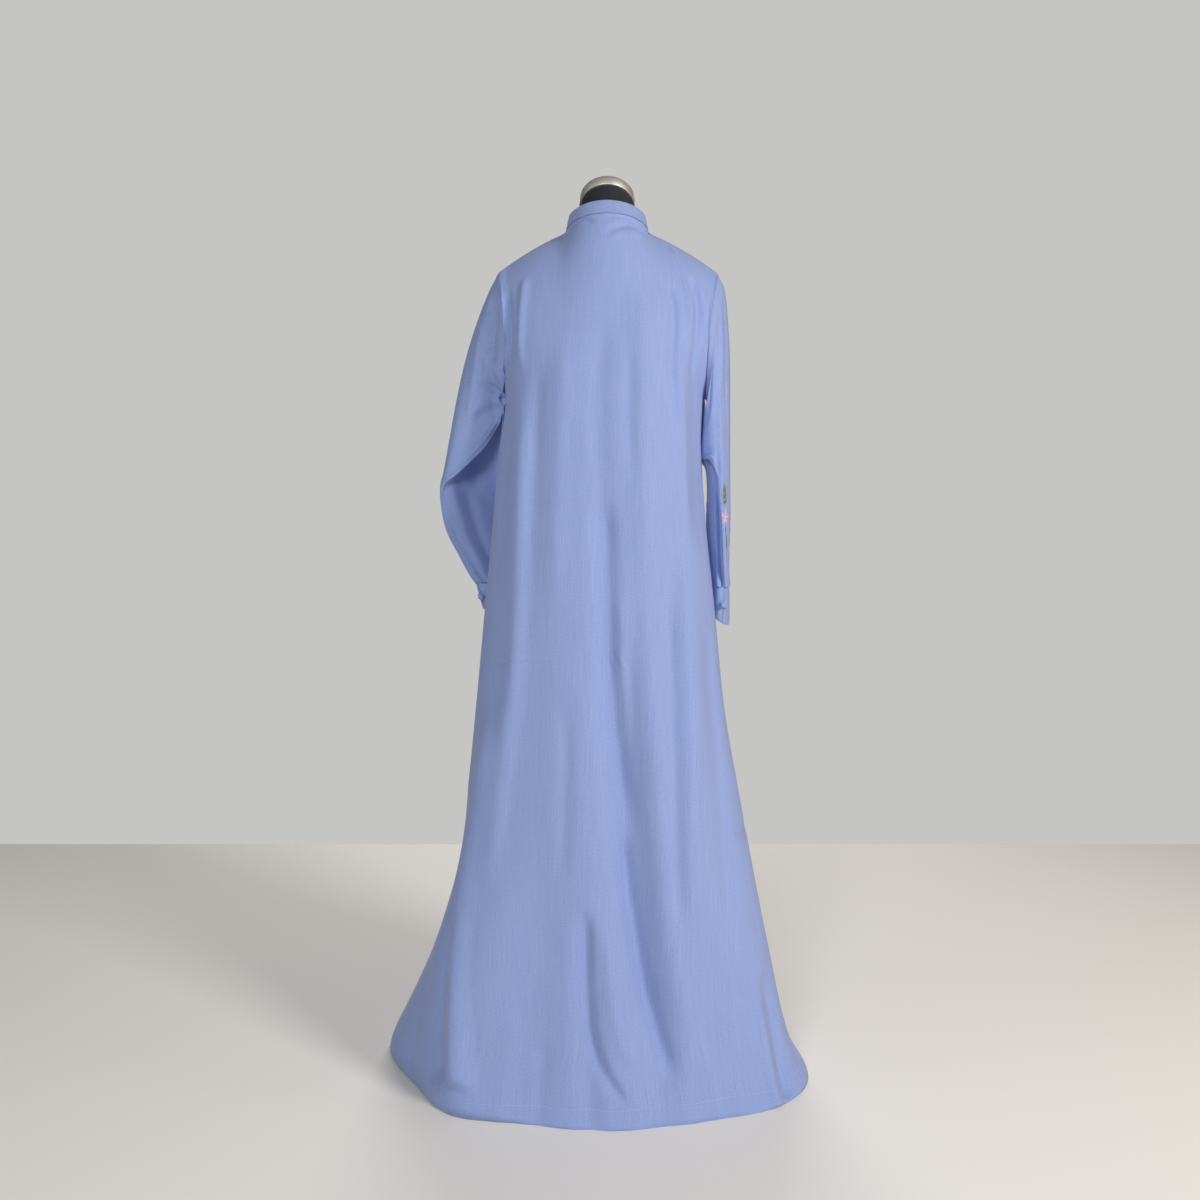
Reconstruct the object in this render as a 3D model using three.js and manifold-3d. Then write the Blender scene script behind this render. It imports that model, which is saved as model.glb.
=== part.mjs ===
// A long-sleeved maxi dress with a stand collar, on a limbless dress form that stands on a round base.
// Millimetres, +Z up. The origin is on the floor under the form's pole, the wearer faces -Y, and +X is the
// wearer's left. Each cloth piece is a thin wall on a grid of points, and neighbours share their seam points.
import * as THREE from "three";
import { mergeVertices } from "three/addons/utils/BufferGeometryUtils.js";
import Module from "manifold-3d";

const wasm = await Module();
wasm.setup();

// ---- Driving dimensions ----
const clothThickness = 1.5;
const seamGap = 0.36;
const underarmRelief = 0.62; // the extra gap on each side where the sleeve turns in under the arm

const underarmHeight = 1115;
const neckHalfWidth = 68.5;
const neckPointHeight = 1397;
const napeRise = 4;
const napeDepth = 73;
const throatDepth = 84;
const throatDrop = 40;
const neckShare = 0.3; // the share of a panel's half width that the neckline takes
const shoulderTip = { left: 184, right: 186, height: 1329 };
const shoulderSpring = 5; // how far the shoulder seam arches above a straight line
const armholeDepth = { back: 60, front: 54 };
const armholeHollow = 9;
const yokeFullness = 2.2;
const yokeEasing = 10; // passes that even out the kinks between the skirt, the neckline and the shoulders

const collarHeight = { back: 26, side: 22.5 };
const collarLean = { side: 3, back: 12, front: 8 };
const collarOpening = 3;

const slitLength = 210;
const slitWidth = 1.2;

const button = { radius: 4.8, flatness: 0.8, shankRadius: 1.5, shankLength: 3, inFromEdge: 4.5 };
const loop = { radius: 1.1, reach: 8, halfWidth: 3.3 };

const form = {
  chestHeight: 1250,
  neckBase: { half: 62, back: 46, front: 48 },
  neckTilt: 17,
  neckHalfWidth: 45.5,
  neckBack: 56,
  neckFront: 60,
  neckForward: 8,
  neckTop: 1442,
  capHeight: 17,
  capLip: 1.6,
  poleRadius: 16,
  baseRadius: 150,
  baseHeight: 14,
  baseRimHeight: 6,
};

// Each row of a table becomes an object with the named columns.
function tableOf(columns, rows) {
  const names = columns.split(" ");
  return rows.map((row) => Object.fromEntries(names.map((name, i) => [name, row[i]])));
}

// Half widths to the wearer's left and right, where the side seams lie, how deep the back and front hang, and
// how pointed the left side is: a section is an ellipse at 1 and boxier under it.
const bodySections = tableOf("height left right seamLeft seamRight back front pointLeft", [
  [0, 377, 331, -52, 14, 217, 204, 1.3],
  [14, 374, 322, -50, 12, 207, 196, 1.28],
  [36, 366, 309, -46, 10, 197, 190, 1.22],
  [70, 349, 297, -42, 8, 189, 184, 1.16],
  [130, 320, 283, -34, 6, 180, 178, 1.05],
  [200, 290, 269, -25, 4, 174, 174, 0.98],
  [270, 267, 255, -17, 2, 168, 170, 0.9],
  [340, 250, 242, -12, 0, 163, 167, 0.85],
  [430, 238, 225, -8, 0, 157, 163, 0.8],
  [530, 226, 207, -5, 0, 151, 159, 0.8],
  [640, 217, 190, -3, 0, 145, 155, 0.8],
  [750, 206, 178, 0, 0, 140, 152, 0.8],
  [850, 197, 168, 0, 0, 135, 151, 0.8],
  [950, 188, 159, 0, 0, 130, 153, 0.8],
  [1040, 180, 160, 0, 0, 126, 156, 0.8],
  [1115, 172, 165, 0, 0, 122, 155, 0.8],
]);

const pointRight = 0.8; // the same for the right side, at every height

// A fold is a ridge (depth over 0) or a trough that runs from `top` down to the hem, `fade` of it left there.
const folds = tableOf("face atTop atHem top depth width fade", [
  ["back", -8, -104, 640, -17, 30, 0.35],
  ["back", -6, -14, 340, -20, 28, 0.4],
  ["back", -34, -62, 350, 12, 28, 0.3],
  ["back", -96, -170, 1000, 9, 44, 0.5],
  ["back", 120, 92, 860, -7, 34, 0.6],
  ["back", 176, 224, 460, 30, 60, 1],
  ["back", -120, -160, 520, -18, 58, 1],
  ["front", 62, 116, 980, 15, 38, 0.9],
  ["front", -58, -96, 940, 14, 36, 0.9],
  ["front", 6, 14, 820, -13, 36, 0.9],
  ["front", 128, 208, 860, -14, 34, 0.8],
  ["front", -120, -186, 820, -13, 34, 0.8],
  ["front", 216, 282, 420, 10, 30, 0.8],
]);

// Each sleeve section runs from its inner edge to its outer edge, with a bulge to the back and to the front.
// The sleeve seam starts under the arm and turns (in degrees) round the back; what lies inside it is sunk.
const leftSleeve = tableOf("at outX outY outZ inX inY inZ back front turn sunk", [
  [0, 184, 0, 1329, 172, 0, 1115, 60, 54, 0, 0],
  [0.07, 199, 0, 1302, 188, -5, 1110, 55, 51, 16, 0.5],
  [0.16, 218, -2, 1252, 186, -16, 1084, 47, 46, 36, 1.1],
  [0.28, 236, -4, 1190, 188, -34, 1058, 40, 41, 56, 1.35],
  [0.4, 251, -6, 1124, 188, -54, 1024, 35, 36, 76, 1.4],
  [0.52, 264, -8, 1056, 186, -74, 984, 31, 32, 104, 1.4],
  [0.62, 277, -12, 994, 180, -90, 944, 27, 28, 142, 1.2],
  [0.68, 284, -18, 965, 179, -98, 920, 23, 26, 170, 0.8],
  [0.77, 278, -36, 909, 178, -108, 884, 19, 25, 180, 0.2],
  [0.88, 255, -62, 853, 177, -119, 842, 18, 24, 180, 0],
  [0.96, 238, -76, 820, 176, -126, 814, 20, 23, 180, 0],
  [1, 229, -82, 806, 174, -128, 803, 22, 22, 180, 0],
]);
const rightSleeve = tableOf("at outX outY outZ inX inY inZ back front turn sunk", [
  [0, 186, 0, 1329, 165, 0, 1115, 60, 54, 0, 0],
  [0.07, 199, 0, 1300, 180, -3, 1109, 55, 56, 0, 0],
  [0.16, 205, -4, 1252, 171, -10, 1082, 50, 60, 0, 0],
  [0.28, 209, -10, 1190, 170, -18, 1058, 50, 62, 0, 0],
  [0.4, 210, -16, 1124, 167, -26, 1030, 52, 62, 8, 0.1],
  [0.5, 211, -22, 1062, 166, -30, 1000, 54, 61, 52, 0.4],
  [0.6, 212, -27, 1000, 167, -34, 962, 54, 60, 90, 0.5],
  [0.72, 213, -31, 930, 170, -38, 908, 51, 56, 106, 0.5],
  [0.84, 212, -34, 866, 174, -40, 854, 47, 50, 116, 0.5],
  [0.94, 211, -36, 818, 180, -42, 814, 42, 44, 124, 0.35],
  [1, 211, -36, 797, 183, -42, 797, 36, 38, 128, 0],
]);
const cuffEnds = tableOf("hand outX outY outZ inX inY inZ back front turn sunk", [
  ["left", 217, -88, 760, 170, -128, 764, 21, 21, 180, 0],
  ["right", 209, -34, 733, 186, -42, 752, 33, 36, 128, 0],
]);

const formSections = tableOf("height half back front", [
  [704, 146, 96, 92],
  [770, 158, 108, 98],
  [860, 144, 96, 92],
  [960, 118, 80, 84],
  [1050, 128, 86, 104],
  [1130, 142, 96, 126],
  [1190, 148, 101, 122],
  [1250, 154, 92, 98],
  [1290, 155, 76, 76],
  [1325, 154, 50, 50],
]);
// The form's shoulders follow the shoulder seam from one share of a panel's half width to another. The
// clearance is under the cloth's middle, measured straight down.
const formShoulder = {
  from: 0.82,
  to: 0.33,
  depthFrom: 28,
  depthTo: 36,
  inset: 6,
  forwardLoss: 5,
  clearance: 3.9,
};

// ---- Shared helpers ----
const mix = (a, b, share) => a + (b - a) * share;
const lerpPoint = (a, b, share) => new THREE.Vector3().lerpVectors(a, b, share);
const sign = (u) => (u < 0 ? -1 : 1);
const radians = THREE.MathUtils.degToRad;

// A smooth curve through one column of a table, which never overshoots its rows.
function curveThrough(table, key, column) {
  const xs = table.map((row) => row[key]);
  const ys = table.map((row) => row[column]);
  const rises = xs.slice(1).map((x, i) => (ys[i + 1] - ys[i]) / (x - xs[i]));
  const slopes = xs.map((_, i) => {
    const before = rises[Math.max(i - 1, 0)];
    const after = rises[Math.min(i, rises.length - 1)];
    return before * after <= 0 ? 0 : (2 * before * after) / (before + after);
  });
  return (x) => {
    let i = 0;
    while (i < xs.length - 2 && x > xs[i + 1]) i++;
    const step = xs[i + 1] - xs[i];
    const t = THREE.MathUtils.clamp((x - xs[i]) / step, 0, 1);
    const rest = 1 - t;
    const ends = ys[i] * (1 + 2 * t) * rest * rest + ys[i + 1] * (3 - 2 * t) * t * t;
    return ends + step * t * rest * (slopes[i] * rest - slopes[i + 1] * t);
  };
}

function curvesOf(table, key) {
  const columns = Object.keys(table[0]).filter((name) => name !== key);
  const curves = columns.map((column) => [column, curveThrough(table, key, column)]);
  return (x) => Object.fromEntries(curves.map(([column, curve]) => [column, curve(x)]));
}

const range = (count, f) => Array.from({ length: count + 1 }, (_, i) => f(i / count));

// ---- The dress body: a back and a front on the same section table ----
const bodyAt = curvesOf(bodySections, "height");

function foldDepth(face, x, z) {
  return folds
    .filter((fold) => fold.face === face && z < fold.top)
    .reduce((sum, fold) => {
      const down = 1 - z / fold.top;
      const centre = mix(fold.atTop, fold.atHem, down);
      const swell = Math.sin((Math.PI / 2) * Math.min(1, down / 0.72)) ** 1.5;
      const strength = swell * mix(1, fold.fade, Math.max(0, (down - 0.8) / 0.2));
      return sum + fold.depth * strength * Math.exp(-(((x - centre) / fold.width) ** 2));
    }, 0);
}

// u runs from -1 at the right side seam to 1 at the left one.
function bodyPoint(face, u, z) {
  const side = face === "back" ? 1 : -1;
  const row = bodyAt(z);
  const angle = (Math.abs(u) * Math.PI) / 2;
  const half = u < 0 ? row.right : row.left;
  const seamY = u < 0 ? row.seamRight : row.seamLeft;
  const pointed = u < 0 ? pointRight : row.pointLeft;
  const x = sign(u) * half * Math.sin(angle);
  const y = seamY + (side * row[face] - seamY) * Math.max(0, Math.cos(angle)) ** pointed;
  const out = foldDepth(face, x, z) * Math.min(1, Math.cos(angle) * 4);
  return new THREE.Vector3(x + sign(u) * Math.sin(angle) * out, y + side * Math.cos(angle) * out, z);
}

// Where a column of a panel ends: on the neckline near the middle, and on the shoulder seam outside it.
function panelTop(face, u) {
  const share = Math.abs(u);
  if (share <= neckShare) {
    const angle = ((share / neckShare) * Math.PI) / 2;
    const middle = Math.max(0, Math.cos(angle));
    const [depth, lift] = face === "back" ? [napeDepth, napeRise] : [-throatDepth, -throatDrop];
    const x = sign(u) * neckHalfWidth * Math.sin(angle);
    return new THREE.Vector3(x, depth * middle, neckPointHeight + lift * middle ** 1.6);
  }
  const along = (share - neckShare) / (1 - neckShare);
  const tip = u < 0 ? shoulderTip.right : shoulderTip.left;
  const spring = shoulderSpring * 4 * along * (1 - along);
  return new THREE.Vector3(
    sign(u) * mix(neckHalfWidth, tip, along),
    0,
    mix(neckPointHeight, shoulderTip.height, along) + spring,
  );
}

// w runs from 0 at the underarm to 1 at the shoulder seam or neckline.
function yokePoint(face, u, w) {
  const low = bodyPoint(face, u, underarmHeight);
  const top = panelTop(face, u);
  const edge = Math.abs(u);
  const armhole = Math.sin(Math.PI * w);
  const x = mix(low.x, top.x, w) - sign(u) * armholeHollow * armhole * edge ** 3;
  const round = Math.sqrt(Math.max(0, 1 - w ** yokeFullness));
  const bow = armholeDepth[face] * Math.max(0, armhole) ** 0.8 * edge ** 2.5;
  const y = mix(top.y, low.y, round) + (face === "back" ? bow : -bow);
  return new THREE.Vector3(x, y, mix(low.z, top.z, w));
}

const skirtHeights = [0, 14, 38, 78, 130, 195, 270, 355, 460, 590, 740, 890, 1020, underarmHeight];
const yokeSteps = 10;
const yokeShares = range(yokeSteps, (t) => (1 - Math.cos(Math.PI * t)) / 2);
const neckSteps = 10;
const shoulderSteps = 12;
const shoulderShares = range(shoulderSteps, (t) => mix(neckShare, 1, t));
const neckShares = range(neckSteps, (t) => mix(-neckShare, neckShare, t));
const panelShares = [
  ...shoulderShares.slice(1).reverse().map((u) => -u),
  ...neckShares,
  ...shoulderShares.slice(1),
];

// Moves each inner point above `firstRow` halfway to the lines between its neighbours, along and up the wall.
function evenedOut(points, firstRow) {
  const between = (a, point, b) => {
    const [toA, toB] = [point.distanceTo(a), point.distanceTo(b)];
    return lerpPoint(a, b, toA / (toA + toB));
  };
  for (let pass = 0; pass < yokeEasing; pass++) {
    points = points.map((row, j) =>
      row.map((point, i) => {
        if (j <= firstRow || j === points.length - 1 || i === 0 || i === row.length - 1) return point;
        const along = between(row[i - 1], point, row[i + 1]);
        const up = between(points[j - 1][i], point, points[j + 1][i]);
        return lerpPoint(point, lerpPoint(along, up, 0.5), 0.5);
      }),
    );
  }
  return points;
}

function panelGrid(face) {
  const skirt = skirtHeights.map((z) => panelShares.map((u) => bodyPoint(face, u, z)));
  const yoke = yokeShares.slice(1).map((w) => panelShares.map((u) => yokePoint(face, u, w)));
  const points = evenedOut([...skirt, ...yoke], skirt.length - 2);
  return { points, closed: false, facesOut: face === "front", restsOnFloor: true };
}

// ---- Sleeves and cuffs ----
const ringSteps = yokeSteps * 2;

// One point of a sleeve section. Angle 0 is its outer edge, 90 its back, 180 its inner edge, 270 its front.
// The column behind the seam is drawn up to it, so that the sunk cloth starts in a sharp step.
function sleevePoint(hand, row, ringShare) {
  const behindSeam = Math.abs(ringShare - 0.5 - 1 / ringSteps) < 1e-6;
  const share = behindSeam ? ringShare - (0.72 / ringSteps) * Math.min(1, row.sunk * 2) : ringShare;
  const angle = radians(share * 360 - row.turn);
  const along = (1 + Math.cos(angle)) / 2;
  const inner = new THREE.Vector3(row.inX, row.inY, row.inZ);
  const outer = new THREE.Vector3(row.outX, row.outY, row.outZ);
  const across = new THREE.Vector2(row.outX - row.inX, row.outY - row.inY).normalize();
  const swell = Math.sin(angle);
  const seamAngle = 180 - row.turn;
  const turned = THREE.MathUtils.euclideanModulo(share * 360 - row.turn, 360);
  const insideSeam = turned > seamAngle + 1 && turned < 180;
  const towardsInner = insideSeam ? Math.min(1, (180 - turned) / 40) : 0;
  const sink = 1 - row.sunk * towardsInner;
  const bulge = swell > 0 ? row.back * swell ** 0.85 * sink : -row.front * (-swell) ** 0.85;
  const point = lerpPoint(inner, outer, along);
  point.x -= across.y * bulge;
  point.y += across.x * bulge;
  if (hand === "right") point.x = -point.x;
  return point;
}

function armholePoint(hand, share) {
  const u = hand === "left" ? 1 : -1;
  const along = (1 + Math.cos(2 * Math.PI * share)) / 2;
  return yokePoint(share <= 0.5 ? "back" : "front", u, along);
}

const ringShares = range(ringSteps, (t) => t).slice(0, -1);
const sleeveStations = range(17, (t) => t ** 0.94);
const armholeReach = 0.2; // the share of the sleeve over which it takes up the armhole's own shape

function sleeveGrid(hand) {
  const table = hand === "left" ? leftSleeve : rightSleeve;
  const sleeveAt = curvesOf(table, "at");
  const start = sleeveAt(0);
  const points = sleeveStations.map((at) => {
    const row = sleeveAt(at);
    const hold = Math.max(0, 1 - at / armholeReach) ** 2;
    return ringShares.map((share) => {
      const correction = armholePoint(hand, share).sub(sleevePoint(hand, start, share));
      return sleevePoint(hand, row, share).addScaledVector(correction, hold);
    });
  });
  return { points, closed: true, facesOut: hand === "right", restsOnFloor: false };
}

// The cuff is slit along the sleeve seam, halfway round the ring from the top of the sleeve.
const slitShare = 0.5;

function cuffGrid(hand) {
  const table = hand === "left" ? leftSleeve : rightSleeve;
  const wrist = table[table.length - 1];
  const end = cuffEnds.find((row) => row.hand === hand);
  const measures = Object.keys(end).slice(1);
  const shares = range(ringSteps, (t) => slitShare + t);
  const points = range(2, (t) => t).map((down) => {
    const row = Object.fromEntries(measures.map((key) => [key, mix(wrist[key], end[key], down)]));
    return shares.map((share) => sleevePoint(hand, row, share % 1));
  });
  return { points, closed: false, facesOut: hand === "right", restsOnFloor: false };
}

// ---- The stand collar, from the throat round the nape and back ----
function collarGrid() {
  const onFront = neckShares.map((u) => panelTop("front", u));
  const onBack = neckShares.slice(1, -1).map((u) => panelTop("back", u));
  const middle = neckSteps / 2;
  const base = [...onFront.slice(0, middle + 1).reverse(), ...onBack, ...onFront.slice(middle).reverse()];
  const lean = (point) => {
    const aside = Math.min(1, Math.abs(point.x) / neckHalfWidth);
    const depth = point.y > 0 ? collarLean.back : collarLean.front;
    return new THREE.Vector3(
      point.x * (1 - collarLean.side / neckHalfWidth),
      point.y - sign(point.y) * depth * Math.sqrt(1 - aside * aside),
      point.z + mix(collarHeight.back, collarHeight.side, aside * aside),
    );
  };
  const points = range(2, (t) => t).map((up) => base.map((point) => lerpPoint(point, lean(point), up)));
  return { points, closed: false, facesOut: false, restsOnFloor: false, opening: collarOpening };
}

// ---- From a grid to a solid wall ----
function addNormals(grid) {
  const { points, closed, facesOut } = grid;
  const wide = points[0].length;
  grid.normals = points.map((row, j) =>
    row.map((_, i) => {
      const right = closed ? (i + 1) % wide : Math.min(i + 1, wide - 1);
      const left = closed ? (i + wide - 1) % wide : Math.max(i - 1, 0);
      const above = points[Math.min(j + 1, points.length - 1)][i];
      const below = points[Math.max(j - 1, 0)][i];
      const across = row[right].clone().sub(row[left]);
      const normal = across.cross(above.clone().sub(below)).normalize();
      return facesOut ? normal : normal.negate();
    }),
  );
  return grid;
}

// Seam points that several pieces share get one common normal, so that their walls meet squarely.
function shareSeamNormals(grids) {
  const shared = new Map();
  const each = (visit) =>
    grids.forEach((grid) =>
      grid.points.forEach((row, j) =>
        row.forEach((point, i) => {
          const name = [point.x, point.y, point.z].map((v) => Math.round(v * 10)).join();
          visit(name, grid, j, i);
        }),
      ),
    );
  each((name, grid, j, i) => {
    const sum = shared.get(name) ?? new THREE.Vector3();
    shared.set(name, sum.add(grid.normals[j][i]));
  });
  each((name, grid, j, i) => {
    grid.normals[j][i] = shared.get(name).clone().normalize();
  });
}

// Draws the edges of a piece back from its seams by half the gap, along its own cloth and square to the edge.
function drawBackEdges(grid) {
  const { points, closed, restsOnFloor } = grid;
  const last = points.length - 1;
  const wide = points[0].length - 1;
  const inset = grid.opening ? grid.opening / 2 : seamGap / 2;
  const drawn = (point, inner, before, after, distance) => {
    const edge = after.clone().sub(before).normalize();
    const inwards = inner.clone().sub(point);
    return inwards.addScaledVector(edge, -inwards.dot(edge)).setLength(distance);
  };
  const besides = (row, i) => {
    if (closed) return [row[(i + wide) % (wide + 1)], row[(i + 1) % (wide + 1)]];
    return [row[Math.max(i - 1, 0)], row[Math.min(i + 1, wide)]];
  };
  return points.map((row, j) =>
    row.map((point, i) => {
      const moved = point.clone();
      const column = points[Math.max(j - 1, 0)][i];
      const above = points[Math.min(j + 1, last)][i];
      const [before, after] = besides(row, i);
      if (j === last) moved.add(drawn(point, points[last - 1][i], before, after, seamGap / 2));
      const relief = underarmRelief * Math.max(0, 1 - Math.abs(point.z - underarmHeight - 30) / 110);
      const back = seamGap / 2 + relief;
      if (j === 0 && !restsOnFloor) moved.add(drawn(point, points[1][i], before, after, back));
      if (!closed && i === 0) moved.add(drawn(point, row[1], column, above, inset + relief));
      if (!closed && i === wide) moved.add(drawn(point, row[wide - 1], column, above, inset + relief));
      return moved;
    }),
  );
}

function wallOf(grid) {
  const { closed, normals, restsOnFloor, facesOut } = grid;
  const middle = drawBackEdges(grid);
  const high = middle.length;
  const wide = middle[0].length;
  const positions = [];
  [0.5, -0.5].forEach((share) =>
    middle.forEach((row, j) =>
      row.forEach((point, i) => {
        const normal = normals[j][i].clone();
        if (restsOnFloor && j === 0) normal.setZ(0).normalize();
        const moved = point.clone().addScaledVector(normal, share * clothThickness);
        positions.push(moved.x, moved.y, moved.z);
      }),
    ),
  );
  const at = (layer, j, i) => (layer * high + j) * wide + (i % wide);
  const faces = [];
  const quad = (a, b, c, d) => faces.push(a, b, c, a, c, d);
  const columns = closed ? wide : wide - 1;
  for (let j = 0; j < high - 1; j++) {
    for (let i = 0; i < columns; i++) {
      quad(at(0, j, i), at(0, j, i + 1), at(0, j + 1, i + 1), at(0, j + 1, i));
      quad(at(1, j, i), at(1, j + 1, i), at(1, j + 1, i + 1), at(1, j, i + 1));
    }
  }
  for (let i = 0; i < columns; i++) {
    quad(at(0, 0, i), at(1, 0, i), at(1, 0, i + 1), at(0, 0, i + 1));
    quad(at(0, high - 1, i), at(0, high - 1, i + 1), at(1, high - 1, i + 1), at(1, high - 1, i));
  }
  if (!closed) {
    for (let j = 0; j < high - 1; j++) {
      quad(at(0, j, 0), at(0, j + 1, 0), at(1, j + 1, 0), at(1, j, 0));
      quad(at(0, j, wide - 1), at(1, j, wide - 1), at(1, j + 1, wide - 1), at(0, j + 1, wide - 1));
    }
  }
  if (!facesOut) {
    for (let k = 0; k < faces.length; k += 3) [faces[k + 1], faces[k + 2]] = [faces[k + 2], faces[k + 1]];
  }
  const geometry = new THREE.BufferGeometry();
  geometry.setAttribute("position", new THREE.Float32BufferAttribute(positions, 3));
  geometry.setIndex(faces);
  return geometry;
}

// ---- Joining and cutting closed geometries ----
function solidOf(geometry) {
  const bare = geometry.clone();
  bare.deleteAttribute("normal");
  bare.deleteAttribute("uv");
  const merged = mergeVertices(bare, 1e-4);
  return new wasm.Manifold(
    new wasm.Mesh({
      numProp: 3,
      vertProperties: merged.attributes.position.array,
      triVerts: new Uint32Array(merged.index.array),
    }),
  );
}

function geometryOf(solid) {
  const mesh = solid.getMesh();
  const geometry = new THREE.BufferGeometry();
  geometry.setAttribute("position", new THREE.BufferAttribute(mesh.vertProperties, 3));
  geometry.setIndex(new THREE.BufferAttribute(mesh.triVerts, 1));
  return geometry;
}

// The front opening, from the neckline down the middle of the front.
function cutSlit(panel) {
  const top = neckPointHeight - throatDrop;
  const [deep, spare] = [120, 20];
  const knife = new THREE.BoxGeometry(slitWidth, deep, slitLength + spare);
  knife.translate(0, -throatDepth - deep / 6, top - (slitLength - spare) / 2);
  return geometryOf(solidOf(panel).subtract(solidOf(knife)));
}

// ---- Buttons and their cloth loops ----
// A point on the outside of an open band, `across` from its slit (over 0 is inwards from the first end)
// and `up` from its middle line, lifted clear of the cloth.
function onBand(grid, across, up, lift) {
  const { points, normals } = grid;
  const line = points.map((row) => (across < 0 ? [...row].reverse() : row));
  const outs = normals.map((row) => (across < 0 ? [...row].reverse() : row));
  const step = line[1][0].distanceTo(line[1][1]);
  const column = Math.min(Math.abs(across) / step, 1.999);
  const i = Math.floor(column);
  const at = (rows, j) => lerpPoint(rows[j][i], rows[j][i + 1], column - i);
  const [low, high] = up < 0 ? [1, 0] : [1, 2];
  const share = Math.abs(up) / at(line, low).distanceTo(at(line, high));
  const out = lerpPoint(at(outs, low), at(outs, high), share).normalize();
  const point = lerpPoint(at(line, low), at(line, high), share);
  return { out, point: point.addScaledVector(out, clothThickness / 2 + seamGap + lift) };
}

function buttonOn(grid) {
  const { radius, flatness, shankRadius, shankLength, inFromEdge } = button;
  const ball = new THREE.SphereGeometry(radius, 12, 8);
  ball.scale(1, flatness, 1).translate(0, shankLength + radius * flatness, 0);
  const shank = new THREE.CylinderGeometry(shankRadius, shankRadius, shankLength + 1, 8);
  shank.translate(0, (shankLength + 1) / 2, 0);
  const { out, point } = onBand(grid, inFromEdge, 0, 0);
  const turn = new THREE.Quaternion().setFromUnitVectors(new THREE.Vector3(0, 1, 0), out);
  const place = new THREE.Matrix4().compose(point, turn, new THREE.Vector3(1, 1, 1));
  return geometryOf(solidOf(ball).add(solidOf(shank))).applyMatrix4(place);
}

// A cord that comes from the far side of the slit, lies round the button's shank and goes back.
function loopOn(grid) {
  const { reach, halfWidth, radius } = loop;
  const { inFromEdge } = button;
  const path = [
    [-reach, halfWidth * 0.8],
    [-reach / 2, halfWidth * 0.92],
    [0, halfWidth],
    [inFromEdge, halfWidth],
    [inFromEdge + halfWidth, 0],
    [inFromEdge, -halfWidth],
    [0, -halfWidth],
    [-reach / 2, -halfWidth * 0.92],
    [-reach, -halfWidth * 0.8],
  ].map(([across, up]) => onBand(grid, across, up, radius).point);
  const section = new THREE.Shape();
  section.absarc(0, 0, radius, 0, Math.PI * 2);
  const extrudePath = new THREE.CatmullRomCurve3(path);
  const options = { extrudePath, steps: 20, curveSegments: 4, bevelEnabled: false };
  return new THREE.ExtrudeGeometry(section, options);
}

// ---- The dress form ----
function shoulderRows() {
  const { from, to, depthFrom, depthTo, inset, forwardLoss, clearance } = formShoulder;
  return range(8, (t) => {
    const top = panelTop("back", mix(from, to, t));
    const depth = mix(depthFrom, depthTo, t);
    return { height: top.z - clearance, half: top.x - inset, back: depth, front: depth - forwardLoss };
  });
}

// Level rings up to the neck, then rings that lean forward with the neck.
function formRings() {
  const columns = 28;
  const rows = [...formSections, ...shoulderRows()];
  const at = curvesOf(rows, "height");
  const shoulderTop = rows[rows.length - 1].height;
  const lowest = formSections[0].height;
  const upper = rows.map((row) => row.height).filter((height) => height > form.chestHeight);
  const heights = [...range(9, (t) => mix(lowest, form.chestHeight, t)), ...upper];
  const ring = (half, back, front, centreY, centreZ, tilt) =>
    range(columns, (t) => t)
      .slice(0, -1)
      .map((t) => {
        const angle = t * 2 * Math.PI;
        const depth = Math.sin(angle) > 0 ? back : front;
        const away = depth * Math.sin(angle);
        return new THREE.Vector3(
          half * Math.cos(angle),
          centreY + away * Math.cos(tilt),
          centreZ + away * Math.sin(tilt),
        );
      });
  const body = heights.map((height) => {
    const row = at(height);
    return ring(row.half, row.back, row.front, 0, height, 0);
  });
  const tilt = radians(form.neckTilt);
  const neck = [0.35, 0.7, 1].map((share) => {
    const half = mix(form.neckBase.half, form.neckHalfWidth, share ** 0.5);
    const height = mix(shoulderTop, form.neckTop, share);
    const back = mix(form.neckBase.back, form.neckBack, share);
    const front = mix(form.neckBase.front, form.neckFront, share);
    return ring(half, back, front, -form.neckForward * share, height, tilt * share);
  });
  return [...body, ...neck];
}

// A closed skin over rings, with a flat disc at each end.
function skinOver(rings) {
  const wide = rings[0].length;
  const positions = rings.flat().flatMap((point) => [point.x, point.y, point.z]);
  const middleOf = (ring) => ring.reduce((sum, p) => sum.add(p), new THREE.Vector3()).divideScalar(wide);
  [rings[0], rings[rings.length - 1]].forEach((ring) => positions.push(...middleOf(ring).toArray()));
  const bottom = rings.length * wide;
  const faces = [];
  for (let j = 0; j < rings.length - 1; j++) {
    for (let i = 0; i < wide; i++) {
      const next = (i + 1) % wide;
      const [a, b] = [j * wide + i, j * wide + next];
      faces.push(a, b, b + wide, a, b + wide, a + wide);
    }
  }
  for (let i = 0; i < wide; i++) {
    const next = (i + 1) % wide;
    const top = (rings.length - 1) * wide;
    faces.push(bottom, next, i, bottom + 1, top + i, top + next);
  }
  const geometry = new THREE.BufferGeometry();
  geometry.setAttribute("position", new THREE.Float32BufferAttribute(positions, 3));
  geometry.setIndex(faces);
  return geometry;
}

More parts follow.
